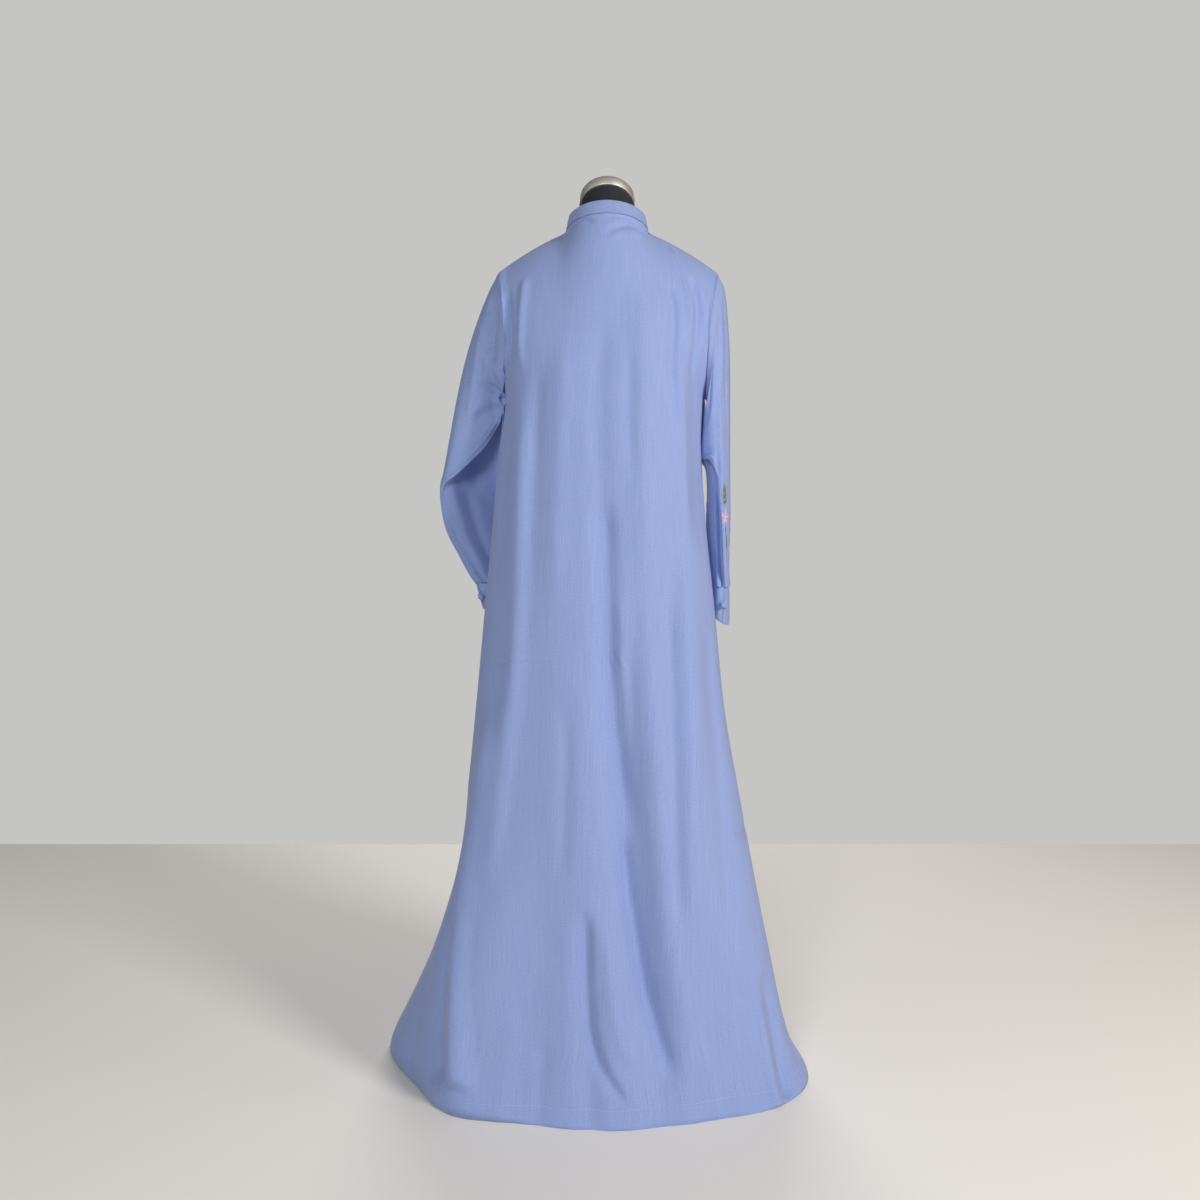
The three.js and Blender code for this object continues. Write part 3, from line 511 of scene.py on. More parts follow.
def controlGrid(face):
    # a coarse grid of the skirt's sections and the yoke above them
    limit, coarse = body["neckShare"], body["coarse"]
    shoulder = np.linspace(limit, 1, coarse["shoulder"])[1:]
    u = np.r_[-shoulder[::-1], np.linspace(-limit, limit, coarse["neck"]), shoulder][None, :]
    heights = np.array(body["skirtHeights"], float)[:, None]
    skirt = bodySurface(face, u + 0 * heights, heights + 0 * u)
    w = ((1 - np.cos(np.pi * np.linspace(0, 1, coarse["yoke"]))) / 2)[1:, None]
    yoke = yokeSurface(face, u + 0 * w, w + 0 * u)
    return u[0], evenedOut(np.vstack([skirt, yoke]), len(heights) - 2, body["easing"])


def foldField(face, x, z):
    # a bell across each fold times a swell that grows from its top and eases to its share at the hem
    total, easeFrom = np.zeros_like(x), swelling["easeFrom"]
    for atTop, atHem, top, depth, width, fade in folds[face]:
        down = np.clip(1 - z / top, 0, 1)
        centre = atTop + (atHem - atTop) * down
        swell = np.sin(np.pi / 2 * np.minimum(1, down / swelling["full"])) ** swelling["power"]
        strength = swell * (1 + (fade - 1) * np.clip((down - easeFrom) / (1 - easeFrom), 0, 1))
        total += depth * strength * np.exp(-(((x - centre) / width) ** 2))
    return total


def creaseField(x, z, rows):
    # a bell across a path, narrower on its lean side, faded in and out along it; with a short fade at its
    # foot it keeps its depth to the end
    total = np.zeros_like(x)
    for depth, width, lean, fadeTop, fadeFoot, *places in rows:
        path = np.array(places, float)[::-1]
        away = x - curveThrough(path[:, 1], path[:, 0], z)
        spread = width * (1 + lean * np.sign(away))
        top, foot = path[-1, 1], path[0, 1]
        short = fadeFoot < body["shortFade"]
        fade = softStep((top - z) / fadeTop) * softStep((z - foot) / max(fadeFoot, 1) + short)
        total += depth * fade * np.exp(-((away / spread) ** 2))
    return total


def acrossField(x, z, rows):
    # the same bell, across a path that runs sideways
    total = np.zeros_like(x)
    for depth, width, fade, *places in rows:
        path = np.array(places, float)
        path = path[np.argsort(path[:, 0])]
        away = z - curveThrough(path[:, 0], path[:, 1], x)
        ends = softStep((x - path[0, 0]) / fade + 0.5) * softStep((path[-1, 0] - x) / fade + 0.5)
        total += depth * ends * np.exp(-((away / width) ** 2))
    return total


def edgeRidge(distance, height, width):
    # cloth doubled by a seam allowance: a low step beside the edge, nothing on the edge itself
    return height * softStep(distance / ridgeRise) * (1 - softStep((distance - width) / ridgeFall))


neckSteps, shoulderSteps = 54, 63
yokeSteps = (12, 5, 5, 5, 5, 5, 5, 5, 5, 5)  # rows within each step of the yoke, most of them by the underarm
skirtStep, creaseStep, creaseBand = 6.2, 3, 9  # the skirt's band with the storage crease is finer
neckLimit = body["neckShare"]
fineSide = np.linspace(neckLimit, 1, shoulderSteps + 1)[1:]
fineColumns = np.r_[-fineSide[::-1], np.linspace(-neckLimit, neckLimit, neckSteps + 1), fineSide]
middleColumn = shoulderSteps + neckSteps // 2


def rowTargets(knots, skirtRows):
    # even steps up the skirt, small ones across the storage crease, and even shares above the underarm
    skirt = []
    for k, (a, b) in enumerate(zip(knots[:skirtRows - 1], knots[1:skirtRows])):
        step = creaseStep if k == creaseBand else skirtStep
        skirt.append(np.linspace(a, b, max(2, int(round((b - a) / step))), endpoint=False))
    spans = zip(knots[skirtRows - 1:-1], knots[skirtRows:], yokeSteps)
    yoke = [np.linspace(a, b, n, endpoint=False) for a, b, n in spans]
    return np.concatenate(skirt), np.concatenate(yoke + [knots[-1:]])


def ringShares():
    # the share of the way round from the shoulder, through the back, to each row of the armhole's edge
    spans = [np.linspace(k, k + 1, n, endpoint=False) for k, n in enumerate(yokeSteps)]
    steps = np.concatenate(spans + [[len(yokeSteps)]])
    back = 0.5 - steps[::-1] / len(yokeSteps) / 2
    front = 0.5 + steps[1:-1] / len(yokeSteps) / 2
    return np.r_[back, front]


columnKnots, backControl = controlGrid("back")
frontControl = controlGrid("front")[1]
rowSteps = np.linalg.norm(np.diff(backControl, axis=0), axis=2).mean(axis=1)
rowKnots = np.r_[0, np.cumsum(rowSteps)]
skirtRows, yokeRows = rowTargets(rowKnots, len(body["skirtHeights"]))
rowMatrix = spreadMatrix(rowKnots, np.r_[skirtRows, yokeRows])
columnMatrix = spreadMatrix(columnKnots, fineColumns)
underarmRow = len(skirtRows)


def panelSurface(face, control):
    # the smooth panel, moved out along its normals by folds, creases, doubled edges, hem and neck edge
    base = np.einsum("ai,ijk,bj->abk", rowMatrix, control, columnMatrix)
    base[0, :, 2] = 0
    flip = face == "back"
    normal = normalsOf(base, False, flip)
    x, z = base[..., 0], base[..., 2]
    foldFade, creaseFade = body["seamFade"]
    seamFade = np.minimum(1, np.cos(np.abs(fineColumns) * np.pi / 2) * foldFade)[None, :]
    out = foldField(face, x, z) * seamFade
    topFade = softStep((np.arange(len(base))[::-1, None]) / body["topFade"])
    fromTop = np.linalg.norm(base - base[-1:], axis=2)
    onNeck = softStep((neckLimit - np.abs(fineColumns)) / body["neckFade"])[None, :]
    under, hem = body["underCollar"], body["hem"]
    swell = under["swell"] * (1 - np.exp(-fromTop / under["rise"])) * np.exp(-fromTop / under["reach"])
    puff = (swell - under["tuck"] * np.exp(-fromTop / under["tuckReach"])) * onNeck
    detail = creaseField(x, z, creases[face]) + acrossField(x, z, storageCreases[face])
    hemStep = hem["step"] * softStep(z / hem["foot"]) * (1 - softStep((z - hem["depth"]) / hem["head"]))
    sides = [np.linalg.norm(base - edge, axis=2) for edge in (base[:, :1], base[:, -1:])]
    side = sum(edgeRidge(distance, *body["sideEdge"]) for distance in sides)
    detail = detail * np.minimum(1, seamFade * creaseFade) * topFade + side + puff + hemStep * seamFade
    moved = base + normal * (out + detail)[..., None]
    moved[0, :, 2] = 0
    moved[..., 2] = np.maximum(moved[..., 2], 0)
    moved[:, [0, -1]] = base[:, [0, -1]]
    moved[-1] = base[-1]
    return moved, normalsOf(moved, False, flip)


panels, panelNormals = {}, {}
for face, control in (("back", backControl), ("front", frontControl)):
    panels[face], panelNormals[face] = panelSurface(face, control)
slitFoot = body["neckPoint"] + body["neckLift"]["front"] - slit["length"]
slitRow = int(np.argmin(np.abs(panels["front"][:, middleColumn, 2] - slitFoot)))


def addPanel(face, slitRow=None):
    # the back or front as one cloth piece
    name, points = f"{face}PanelCloth", panels[face]
    mesh = gridMesh(name, points, grainOf(points, middleColumn), flip=face == "back", slitRow=slitRow)
    piece = addPiece(name, mesh, clothMaterial, [f"{face}_panel"])
    addThickness(piece, body["thickness"])
    return piece


backPiece = addPanel("back")
frontPiece = addPanel("front", slitRow)
print("front and back panels made")

# sleeves
sleeves = {
    "columns": "at outX outY outZ inX inY inZ back front turn sunk",
    "left": [
        (0, 184, 0, 1329, 172, 0, 1115, 60, 54, 0, 0),
        (0.07, 199, 0, 1302, 188, -5, 1110, 55, 51, 16, 0.5),
        (0.16, 218, -2, 1252, 186, -16, 1084, 47, 46, 36, 1.1),
        (0.28, 236, -4, 1190, 188, -34, 1058, 40, 41, 56, 1.35),
        (0.4, 251, -6, 1124, 188, -54, 1024, 35, 36, 76, 1.4),
        (0.52, 264, -8, 1056, 186, -74, 984, 31, 32, 104, 1.4),
        (0.62, 277, -12, 994, 180, -90, 944, 27, 28, 142, 1.2),
        (0.68, 284, -18, 965, 179, -98, 920, 23, 26, 170, 0.8),
        (0.77, 278, -36, 909, 178, -108, 884, 19, 25, 180, 0.2),
        (0.88, 255, -62, 853, 177, -119, 842, 18, 24, 180, 0),
        (0.96, 238, -76, 820, 176, -126, 814, 20, 23, 180, 0),
        (1, 229, -82, 806, 174, -128, 803, 22, 22, 180, 0),
    ],
    "right": [
        (0, 186, 0, 1329, 165, 0, 1115, 60, 54, 0, 0),
        (0.07, 199, 0, 1300, 180, -3, 1109, 55, 56, 0, 0),
        (0.16, 205, -4, 1252, 171, -10, 1082, 50, 60, 0, 0),
        (0.28, 209, -10, 1190, 170, -18, 1058, 50, 62, 0, 0),
        (0.4, 210, -16, 1124, 167, -26, 1030, 52, 62, 8, 0.1),
        (0.46, 211, -20, 1086, 166, -28, 1012, 54, 61, 22, 0.35),
        (0.52, 211, -23, 1050, 171, -31, 996, 54, 61, 62, 0.45),
        (0.6, 212, -27, 1000, 173, -34, 962, 54, 60, 90, 0.5),
        (0.72, 213, -31, 930, 172, -38, 908, 51, 56, 106, 0.5),
        (0.84, 212, -34, 866, 174, -40, 854, 47, 50, 116, 0.5),
        (0.94, 211, -36, 818, 180, -42, 814, 42, 44, 124, 0.35),
        (1, 211, -36, 797, 183, -42, 797, 36, 38, 128, 0),
    ],
    "nearer": {"left": 6.5, "right": 5.5},  # how far the inner edge leans to the body between these shares
    "nearFrom": 0.02,
    "nearTo": {"left": 0.66, "right": 0.49},
    "nearEase": 0.06,
    "roundness": 0.85,
    "sunkStep": 7.0,  # the degrees in which the cloth beyond the seam sinks, and those in which it comes back
    "sunkBack": 40,
    "creaseEase": (0.07, 0.08),
    "armholeReach": 0.2,
    "rows": 120,
    "spacing": 0.94,
    "length": 540,
    "thickness": 0.9,
    "gathers": {"height": 1.7, "count": 13, "from": 0.9, "within": 0.07, "to": 0.985, "gone": 0.015},
    "head": {"tuck": 0.9, "tuckReach": 1.6, "ridge": (0.9, 5)},
    "welt": (2.0, 7.5),
    "weltFrom": 0.04,
    "groove": {"depth": 1.4, "at": 4.6, "width": 1.5},
}

# sleeve creases: depth, width in degrees, where it starts and ends as a share of the sleeve's length, then
# places as the share down the sleeve and the angle round it
sleeveCreases = {
    "left": [
        (-4.5, 14, 0.05, 0.4, (0.06, 52), (0.2, 74), (0.38, 92)),
        (3.0, 12, 0.05, 0.5, (0.06, 22), (0.25, 34), (0.5, 46)),
        (-4.6, 10, 0.07, 0.19, (0.09, 6), (0.13, 16), (0.17, 34)),
        (-9.5, 9, 0.0, 0.36, (0.03, 168), (0.16, 134), (0.27, 92), (0.33, 58)),
        (6.0, 10, 0.02, 0.32, (0.03, 140), (0.14, 108), (0.25, 64)),
        (-6.0, 8, 0.24, 0.5, (0.28, 116), (0.35, 90), (0.44, 58)),
        (4.6, 8, 0.28, 0.54, (0.32, 116), (0.4, 92), (0.5, 66)),
        (-3.4, 12, 0.2, 0.66, (0.18, 120), (0.4, 104), (0.66, 84)),
        (-4.4, 12, 0.6, 1.0, (0.62, 78), (0.78, 84), (0.97, 96)),
        (3.4, 11, 0.62, 1.0, (0.64, 48), (0.8, 54), (0.97, 60)),
        (-2.6, 10, 0.74, 1.0, (0.76, 24), (0.86, 30), (0.98, 34)),
        (-3.0, 14, 0.3, 0.8, (0.3, 300), (0.55, 290), (0.8, 282)),
        (2.6, 14, 0.1, 0.6, (0.1, 262), (0.35, 258), (0.6, 250)),
        (-2.8, 11, 0.7, 1.0, (0.72, 250), (0.86, 262), (0.98, 270)),
    ],
    "right": [
        (-2.2, 7, 0.05, 0.6, (0.05, 30), (0.3, 36), (0.6, 34)),
        (2.6, 8, 0.05, 0.94, (0.05, 58), (0.3, 64), (0.7, 70), (0.94, 66)),
        (-3.4, 11, 0.04, 0.4, (0.04, 96), (0.2, 112), (0.4, 120)),
        (-4.2, 10, 0.5, 1.0, (0.5, 84), (0.74, 76), (0.98, 66)),
        (3.6, 9, 0.6, 1.0, (0.6, 104), (0.8, 98), (0.98, 92)),
        (-2.8, 12, 0.2, 0.8, (0.2, 300), (0.5, 290), (0.8, 286)),
        (2.6, 13, 0.3, 1.0, (0.3, 258), (0.6, 250), (0.98, 246)),
    ],
}

# each cuff's far end in the sleeve's columns, the half gap of its slit as a share of its girth, and its grid
cuffs = {
    "left": (217, -88, 760, 170, -128, 764, 21, 21, 180, 0),
    "right": (209, -34, 733, 186, -42, 752, 33, 36, 128, 0),
    "gap": 0.006, "padding": 0.9, "rows": 25, "columns": 121, "thickness": 1.7, "stitchRows": (1.2, 2.4),
}


def sleeveFrame(hand, at):
    # the sleeve's rows as smooth curves, its inner edge brought nearer to the body
    row = readTable({"columns": sleeves["columns"], "rows": sleeves[hand]}, at)
    start, end = sleeves["nearFrom"], sleeves["nearTo"][hand]
    lean = softStep((at - start) / sleeves["nearEase"]) * softStep((end - at) / sleeves["nearEase"])
    row["inX"] = row["inX"] - sleeves["nearer"][hand] * lean
    return row


def sleevePoint(hand, row, share):
    # from the inner to the outer edge with the cosine, bulged to back and front with a power of the sine;
    # cloth between the seam and the inner edge is sunk by a step
    degrees = share * 360 - row["turn"]
    angle = np.radians(degrees)
    along, swell = (1 + np.cos(angle)) / 2, np.sin(angle)
    around = np.mod(degrees, 360)
    beyond = np.where(around < 180, degrees - (180 - row["turn"]), 0)
    back = np.clip((180 - around) / sleeves["sunkBack"], 0, 1)
    sink = 1 - row["sunk"] * softStep(beyond / sleeves["sunkStep"]) * back
    rounded = np.abs(swell) ** sleeves["roundness"]
    bulge = np.where(swell > 0, row["back"] * rounded * sink, -row["front"] * rounded)
    acrossX, acrossY = row["outX"] - row["inX"], row["outY"] - row["inY"]
    size = np.hypot(acrossX, acrossY)
    x = row["inX"] + acrossX * along - acrossY / size * bulge
    y = row["inY"] + acrossY * along + acrossX / size * bulge
    z = row["inZ"] + (row["outZ"] - row["inZ"]) * along
    return np.stack(np.broadcast_arrays(x if hand == "left" else -x, y, z), axis=-1)


def armholeRing(hand):
    # the back edge from the shoulder down, then the front edge back up
    column = -1 if hand == "left" else 0
    back, front = panels["back"][underarmRow:, column], panels["front"][underarmRow:, column]
    return np.vstack([back[::-1], front[1:-1]])


def sleeveCreaseField(hand, at, angle):
    # a bell round the sleeve across each path, faded in and out down its length
    total = np.zeros(np.broadcast_shapes(at.shape, angle.shape))
    easeIn, easeOut = sleeves["creaseEase"]
    for depth, width, start, end, *places in sleeveCreases[hand]:
        path = np.array(places, float)
        centre = curveThrough(path[:, 0], path[:, 1], at)
        away = (angle - centre + 180) % 360 - 180
        fade = softStep((at - start) / easeIn) * softStep((end - at) / easeOut + (end >= 1))
        total = total + depth * fade * np.exp(-((away / width) ** 2))
    return total


def sleeveSurface(hand):
    # the frame's sections, drawn to the armhole's edge at the head, with creases, gathers, head and seam welt
    ring = armholeRing(hand)
    share = ringShares()[None, :]
    at = (np.linspace(0, 1, sleeves["rows"] + 1) ** sleeves["spacing"])[:, None]
    row = sleeveFrame(hand, at)
    hold = np.clip(1 - at / sleeves["armholeReach"], 0, 1) ** 2
    correction = ring[None] - sleevePoint(hand, sleeveFrame(hand, np.zeros((1, 1))), share)
    base = sleevePoint(hand, row, share) + correction * hold[..., None]
    normal = normalsOf(base, True, hand == "left")
    angle = share * 360 - row["turn"]
    detail = sleeveCreaseField(hand, at, angle)
    gather, head, groove = sleeves["gathers"], sleeves["head"], sleeves["groove"]
    begun = softStep((at - gather["from"]) / gather["within"])
    nearCuff = begun * (1 - softStep((at - gather["to"]) / gather["gone"]))
    gathers = gather["height"] * np.sin(np.radians(share * 360 * gather["count"])) * nearCuff
    girth = np.linalg.norm(np.roll(base, -1, axis=1) - base, axis=2).sum(axis=1)[:, None]
    toSeam, fromHead = (0.5 - share) * girth, at * sleeves["length"]
    tuck = head["tuck"] * np.exp(-((fromHead / head["tuckReach"]) ** 2))
    headEdge = edgeRidge(fromHead, *head["ridge"]) - tuck
    welt = np.where(toSeam >= 0, edgeRidge(toSeam, *sleeves["welt"]), 0)
    welt = welt - groove["depth"] * np.exp(-(((toSeam - groove["at"]) / groove["width"]) ** 2))
    out = detail + gathers + headEdge + welt * softStep(at / sleeves["weltFrom"])
    surface = base + normal * out[..., None]
    return surface, normalsOf(surface, True, hand == "left"), share[0], at[:, 0]


def cuffSurface(hand):
    # from the sleeve's last section to the cuff's end in even steps, open at the seam, slightly padded
    names = sleeves["columns"].split()[1:]
    wrist = dict(zip(names, sleeves[hand][-1][1:]))
    end = dict(zip(names, cuffs[hand]))
    down = np.linspace(0, 1, cuffs["rows"])[:, None]
    row = {name: wrist[name] + (end[name] - wrist[name]) * down for name in names}
    share = 0.5 + np.linspace(cuffs["gap"], 1 - cuffs["gap"], cuffs["columns"])[None, :]
    base = sleevePoint(hand, row, share % 1)
    normal = normalsOf(base, False, hand == "left")
    padded = cuffs["padding"] * np.sin(np.pi * down) ** 0.4
    return base + normal * padded[..., None], normal


sleeveGrids, cuffGrids = {}, {}
for hand in ("left", "right"):
    sleeveGrids[hand] = sleeveSurface(hand)
    points = sleeveGrids[hand][0]
    closed = np.concatenate([points, points[:, :1]], axis=1)
    name, flip = f"{hand}SleeveCloth", hand == "left"
    mesh = gridMesh(name, points, grainOf(closed, len(points[0]) // 2), wraps=True, flip=flip)
    sleeve = addPiece(name, mesh, clothMaterial, [f"sleeve_{hand}"])
    addThickness(sleeve, sleeves["thickness"])
    cuffGrids[hand] = cuffSurface(hand)
    points, name = cuffGrids[hand][0], f"{hand}CuffCloth"
    mesh = gridMesh(name, points, grainOf(points, cuffs["columns"] // 2), flip=flip)
    cuff = addPiece(name, mesh, clothMaterial, [f"cuff_{hand}"])
    addThickness(cuff, cuffs["thickness"])
print("sleeves and cuffs made")

# collar
collar = {
    "back": 26, "side": 22.5, "leanSide": 3, "leanBack": 12, "leanFront": 8,
    "opening": 3, "thickness": 1.9, "padding": 0.9, "ledge": 2.0, "ledgeReach": 2.4,
    "rows": 19, "spacing": 1.3, "stitchRows": (0.8, 2.2),
}


def collarSurface():
    # the neck edge, carried up and leaning in, slightly padded; a ledge over the seam dies away upwards
    first, last = shoulderSteps, shoulderSteps + neckSteps
    frontEdge, backEdge = panels["front"][-1, first : last + 1], panels["back"][-1, first : last + 1]
    half = neckSteps // 2
    base = np.vstack([frontEdge[: half + 1][::-1], backEdge[1:-1], frontEdge[half:][::-1]])
    aside = np.minimum(1, np.abs(base[:, 0]) / body["neckHalfWidth"])
    depth = np.where(base[:, 1] > 0, collar["leanBack"], collar["leanFront"])
    top = base.copy()
    top[:, 0] *= 1 - collar["leanSide"] / body["neckHalfWidth"]
    top[:, 1] -= np.sign(base[:, 1]) * depth * np.sqrt(1 - aside**2)
    top[:, 2] += collar["back"] + (collar["side"] - collar["back"]) * aside**2
    up = (np.linspace(0, 1, collar["rows"]) ** collar["spacing"])[:, None, None]
    points = base[None] + (top - base)[None] * up
    points[:, 0, 0] -= collar["opening"] / 2
    points[:, -1, 0] += collar["opening"] / 2
    normal = normalsOf(points, False, True)
    padded = collar["padding"] * np.sin(np.pi * up) ** 0.5
    ledge = collar["ledge"] * np.exp(-up * collar["back"] / collar["ledgeReach"])
    return points + normal * (padded + ledge), normal


collarPoints, collarNormals = collarSurface()
collarMesh = gridMesh("collarCloth", collarPoints, grainOf(collarPoints, neckSteps), flip=True)
collarPiece = addPiece("collarCloth", collarMesh, clothMaterial, ["collar"])
addThickness(collarPiece, collar["thickness"])
print("collar made")

# dress form
form = {
    "columns": "height half back front",
    "rows": [
        (704, 146, 96, 92), (770, 158, 108, 98), (860, 144, 96, 92), (960, 118, 80, 84),
        (1050, 128, 86, 104), (1130, 142, 96, 126), (1190, 148, 101, 122), (1250, 154, 92, 98),
        (1290, 155, 76, 76), (1325, 154, 50, 50),
    ],
    "shoulderShares": (0.82, 0.33),
    "shoulderDepth": (28, 36),
    "shoulderSections": 9, "insideTip": 6, "lessInFront": 5,
    "clearance": 3.9,
    "torso": (704, 1330, 64), "shoulderFoot": 1333, "shoulderRows": 16, "neckRows": 12,
    "neckTilt": 17, "neckTop": 1442, "forward": 8,
    "neckFoot": (62, 46, 48), "neckHead": (45.5, 56, 60),  # half width, back and front
    "capHeight": 17, "capLip": 1.6, "gap": 0.36,
}


def tiltedRing(half, back, front, forward, height, tilt, columns=96):
    # an ellipse with unlike halves, turned about its sideways axis
    turn = np.linspace(0, 2 * np.pi, columns, endpoint=False)
    away = np.where(np.sin(turn) > 0, back, front) * np.sin(turn)
    y, z = away * math.cos(tilt) - forward, height + away * math.sin(tilt)
    return np.stack([half * np.cos(turn), y, z], axis=-1)


def closedSkin(name, rings, crownRows=6):
    # rings joined row to row, each end drawn to its middle in a few rows
    def toMiddle(ring):
        middle = ring.mean(axis=0)
        return [middle + (ring - middle) * s for s in np.linspace(1, 0.02, crownRows)[1:]]

    rows = np.array(toMiddle(rings[0])[::-1] + list(rings) + toMiddle(rings[-1]))
    wide = rows.shape[1]
    uv = grainOf(np.concatenate([rows, rows[:, :1]], axis=1), wide // 2)
    return gridMesh(name, rows, uv, wraps=True)


def formRings():
    # torso sections, then shoulder sections that keep clear of the yoke, then a neck that tilts forward
    count = form["shoulderSections"]
    tops = panelTop("back", np.linspace(*form["shoulderShares"], count))
    depth = np.linspace(*form["shoulderDepth"], count)
    heights, halves = tops[:, 2] - form["clearance"], tops[:, 0] - form["insideTip"]
    shoulder = np.stack([heights, halves, depth, depth - form["lessInFront"]], axis=-1)
    table = {"columns": form["columns"], "rows": form["rows"] + shoulder.tolist()}
    top = shoulder[-1, 0]
    upperRows = np.linspace(form["shoulderFoot"], top, form["shoulderRows"])
    heights = np.r_[np.linspace(*form["torso"]), upperRows]
    row = readTable(table, heights)
    sections = zip(row["half"], row["back"], row["front"], heights)
    rings = [tiltedRing(half, back, front, 0, height, 0) for half, back, front, height in sections]
    tilt = math.radians(form["neckTilt"])
    foot, head = np.array(form["neckFoot"], float), np.array(form["neckHead"], float)
    for share in np.linspace(0, 1, form["neckRows"] + 1)[1:]:
        half, back, front = foot + (head - foot) * np.array([share**0.5, share, share])
        height = top + (form["neckTop"] - top) * share
        rings.append(tiltedRing(half, back, front, form["forward"] * share, height, tilt * share))
    return rings


def capRings(neckRing):
    # the neck's last ring, grown by a lip and carried along its own axis, with rounded edges
    centre, tilt = neckRing.mean(axis=0), math.radians(form["neckTilt"])
    axis = np.array([0, -math.sin(tilt), math.cos(tilt)])
    away = neckRing - centre
    size = np.linalg.norm(away, axis=1, keepdims=True)
    lip, high, gap = form["capLip"], form["capHeight"], form["gap"]
    foot = [(lip - 1, 0), (lip - 0.3, 0.25), (lip, 1)]
    rim = [(lip, high - 2), (lip - 0.35, high - 0.9), (lip - 1.1, high - 0.2), (lip - 2, high)]
    return [centre + away * (1 + grow / size) + axis * (gap + up) for grow, up in foot + rim]


jersey = {"pitch": 0.0012, "deep": (0.006, 0.008, 0.011, 1), "pale": (0.016, 0.020, 0.026, 1)}


def jerseyMaterial():
    # black knit: fine rows of loops and a soft lift of colour at grazing light
    material, tree, shader = newMaterial("blackJersey")
    uv = addNode(tree, "ShaderNodeUVMap", uv_map="grain").outputs["UV"]
    rib = addNode(tree, "ShaderNodeTexWave", wave_type="BANDS", bands_direction="X",
                  Scale=waveUnit["X"] / jersey["pitch"], Distortion=0.6)
    tree.links.new(uv, rib.inputs["Vector"])
    cloud = stretchedNoise(tree, uv, (60, 60, 1), 3.0)
    mix = addNode(tree, "ShaderNodeMix", data_type="RGBA")
    mix.inputs[6].default_value, mix.inputs[7].default_value = jersey["deep"], jersey["pale"]
    tree.links.new(cloud, mix.inputs[0])
    tree.links.new(mix.outputs[2], shader.inputs["Base Color"])
    shader.inputs["Roughness"].default_value = 0.85
    shader.inputs["Sheen Weight"].default_value = 0.08
    shader.inputs["Sheen Roughness"].default_value = 0.5
    bump = addNode(tree, "ShaderNodeBump", Strength=0.35, Distance=0.0004)
    tree.links.new(rib.outputs["Fac"], bump.inputs["Height"])
    tree.links.new(bump.outputs["Normal"], shader.inputs["Normal"])
    return material


def brushedMaterial(name, colour, roughness, stretch=(40, 40, 2600)):
    # metal with fine scratches that lie round the piece
    material, tree, shader = newMaterial(name)
    coordinates = addNode(tree, "ShaderNodeTexCoord").outputs["Object"]
    scratch = stretchedNoise(tree, coordinates, stretch, 3.0)
    mix = addNode(tree, "ShaderNodeMix", data_type="RGBA")
    mix.inputs[6].default_value = (*[c * 0.86 for c in colour], 1)
    mix.inputs[7].default_value = (*colour, 1)
    tree.links.new(scratch, mix.inputs[0])
    tree.links.new(mix.outputs[2], shader.inputs["Base Color"])
    rough = addNode(tree, "ShaderNodeMapRange")
    rough.inputs["To Min"].default_value = roughness - 0.06
    rough.inputs["To Max"].default_value = roughness + 0.08
    tree.links.new(scratch, rough.inputs["Value"])
    tree.links.new(rough.outputs["Result"], shader.inputs["Roughness"])
    shader.inputs["Metallic"].default_value = 0.9
    bump = addNode(tree, "ShaderNodeBump", Strength=0.08, Distance=0.0002)
    tree.links.new(scratch, bump.inputs["Height"])
    tree.links.new(bump.outputs["Normal"], shader.inputs["Normal"])
    return material


rings = formRings()
addPiece("formBustCover", closedSkin("formBustCover", rings), jerseyMaterial(), ["form_bust"])
nickel = brushedMaterial("brushedNickel", (0.80, 0.77, 0.69), 0.5)
plate = brushedMaterial("blackPlate", (0.035, 0.035, 0.04), 0.5, (300, 300, 300))
capMesh = closedSkin("formNeckCap", capRings(rings[-1]))
addPiece("formNeckCap", capMesh, nickel, ["form_neck_cap"])
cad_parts["form_pole"].data.materials[0] = nickel
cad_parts["form_base"].data.materials[0] = plate
print("dress form made")

# covered buttons and cord loops
closures = {
    "radius": 5.5, "flatness": 0.8, "shank": 2.0, "shankRadius": 1.5, "dimple": 2.7,
    "pleats": 14, "pleatDepth": 0.03, "inFromEdge": 4.5, "buttonLift": 0.2,
    "cord": 1.35, "cordLift": 0.1, "cordSides": 12, "twist": 0.35, "steps": 70, "reach": 8, "halfWidth": 3.3,
}


def onBand(points, normals, across, up, lift):
    # walk along the band's middle row from one of its ends, then up or down its column
    rows = points[:, ::-1] if across < 0 else points
    outs = normals[:, ::-1] if across < 0 else normals
    middle = len(rows) // 2
    walked = np.r_[0, np.cumsum(np.linalg.norm(np.diff(rows[middle], axis=0), axis=1))]
    column = np.interp(abs(across), walked, np.arange(len(walked)))
    i = min(int(column), len(walked) - 2)
    line = rows[:, i] + (rows[:, i + 1] - rows[:, i]) * (column - i)
    outLine = outs[:, i] + (outs[:, i + 1] - outs[:, i]) * (column - i)
    rise = np.r_[0, np.cumsum(np.linalg.norm(np.diff(line, axis=0), axis=1))]
    rise -= rise[middle]
    out = np.array([np.interp(up, rise, outLine[:, k]) for k in range(3)])
    out /= np.linalg.norm(out)
    return np.array([np.interp(up, rise, line[:, k]) for k in range(3)]) + out * lift, out


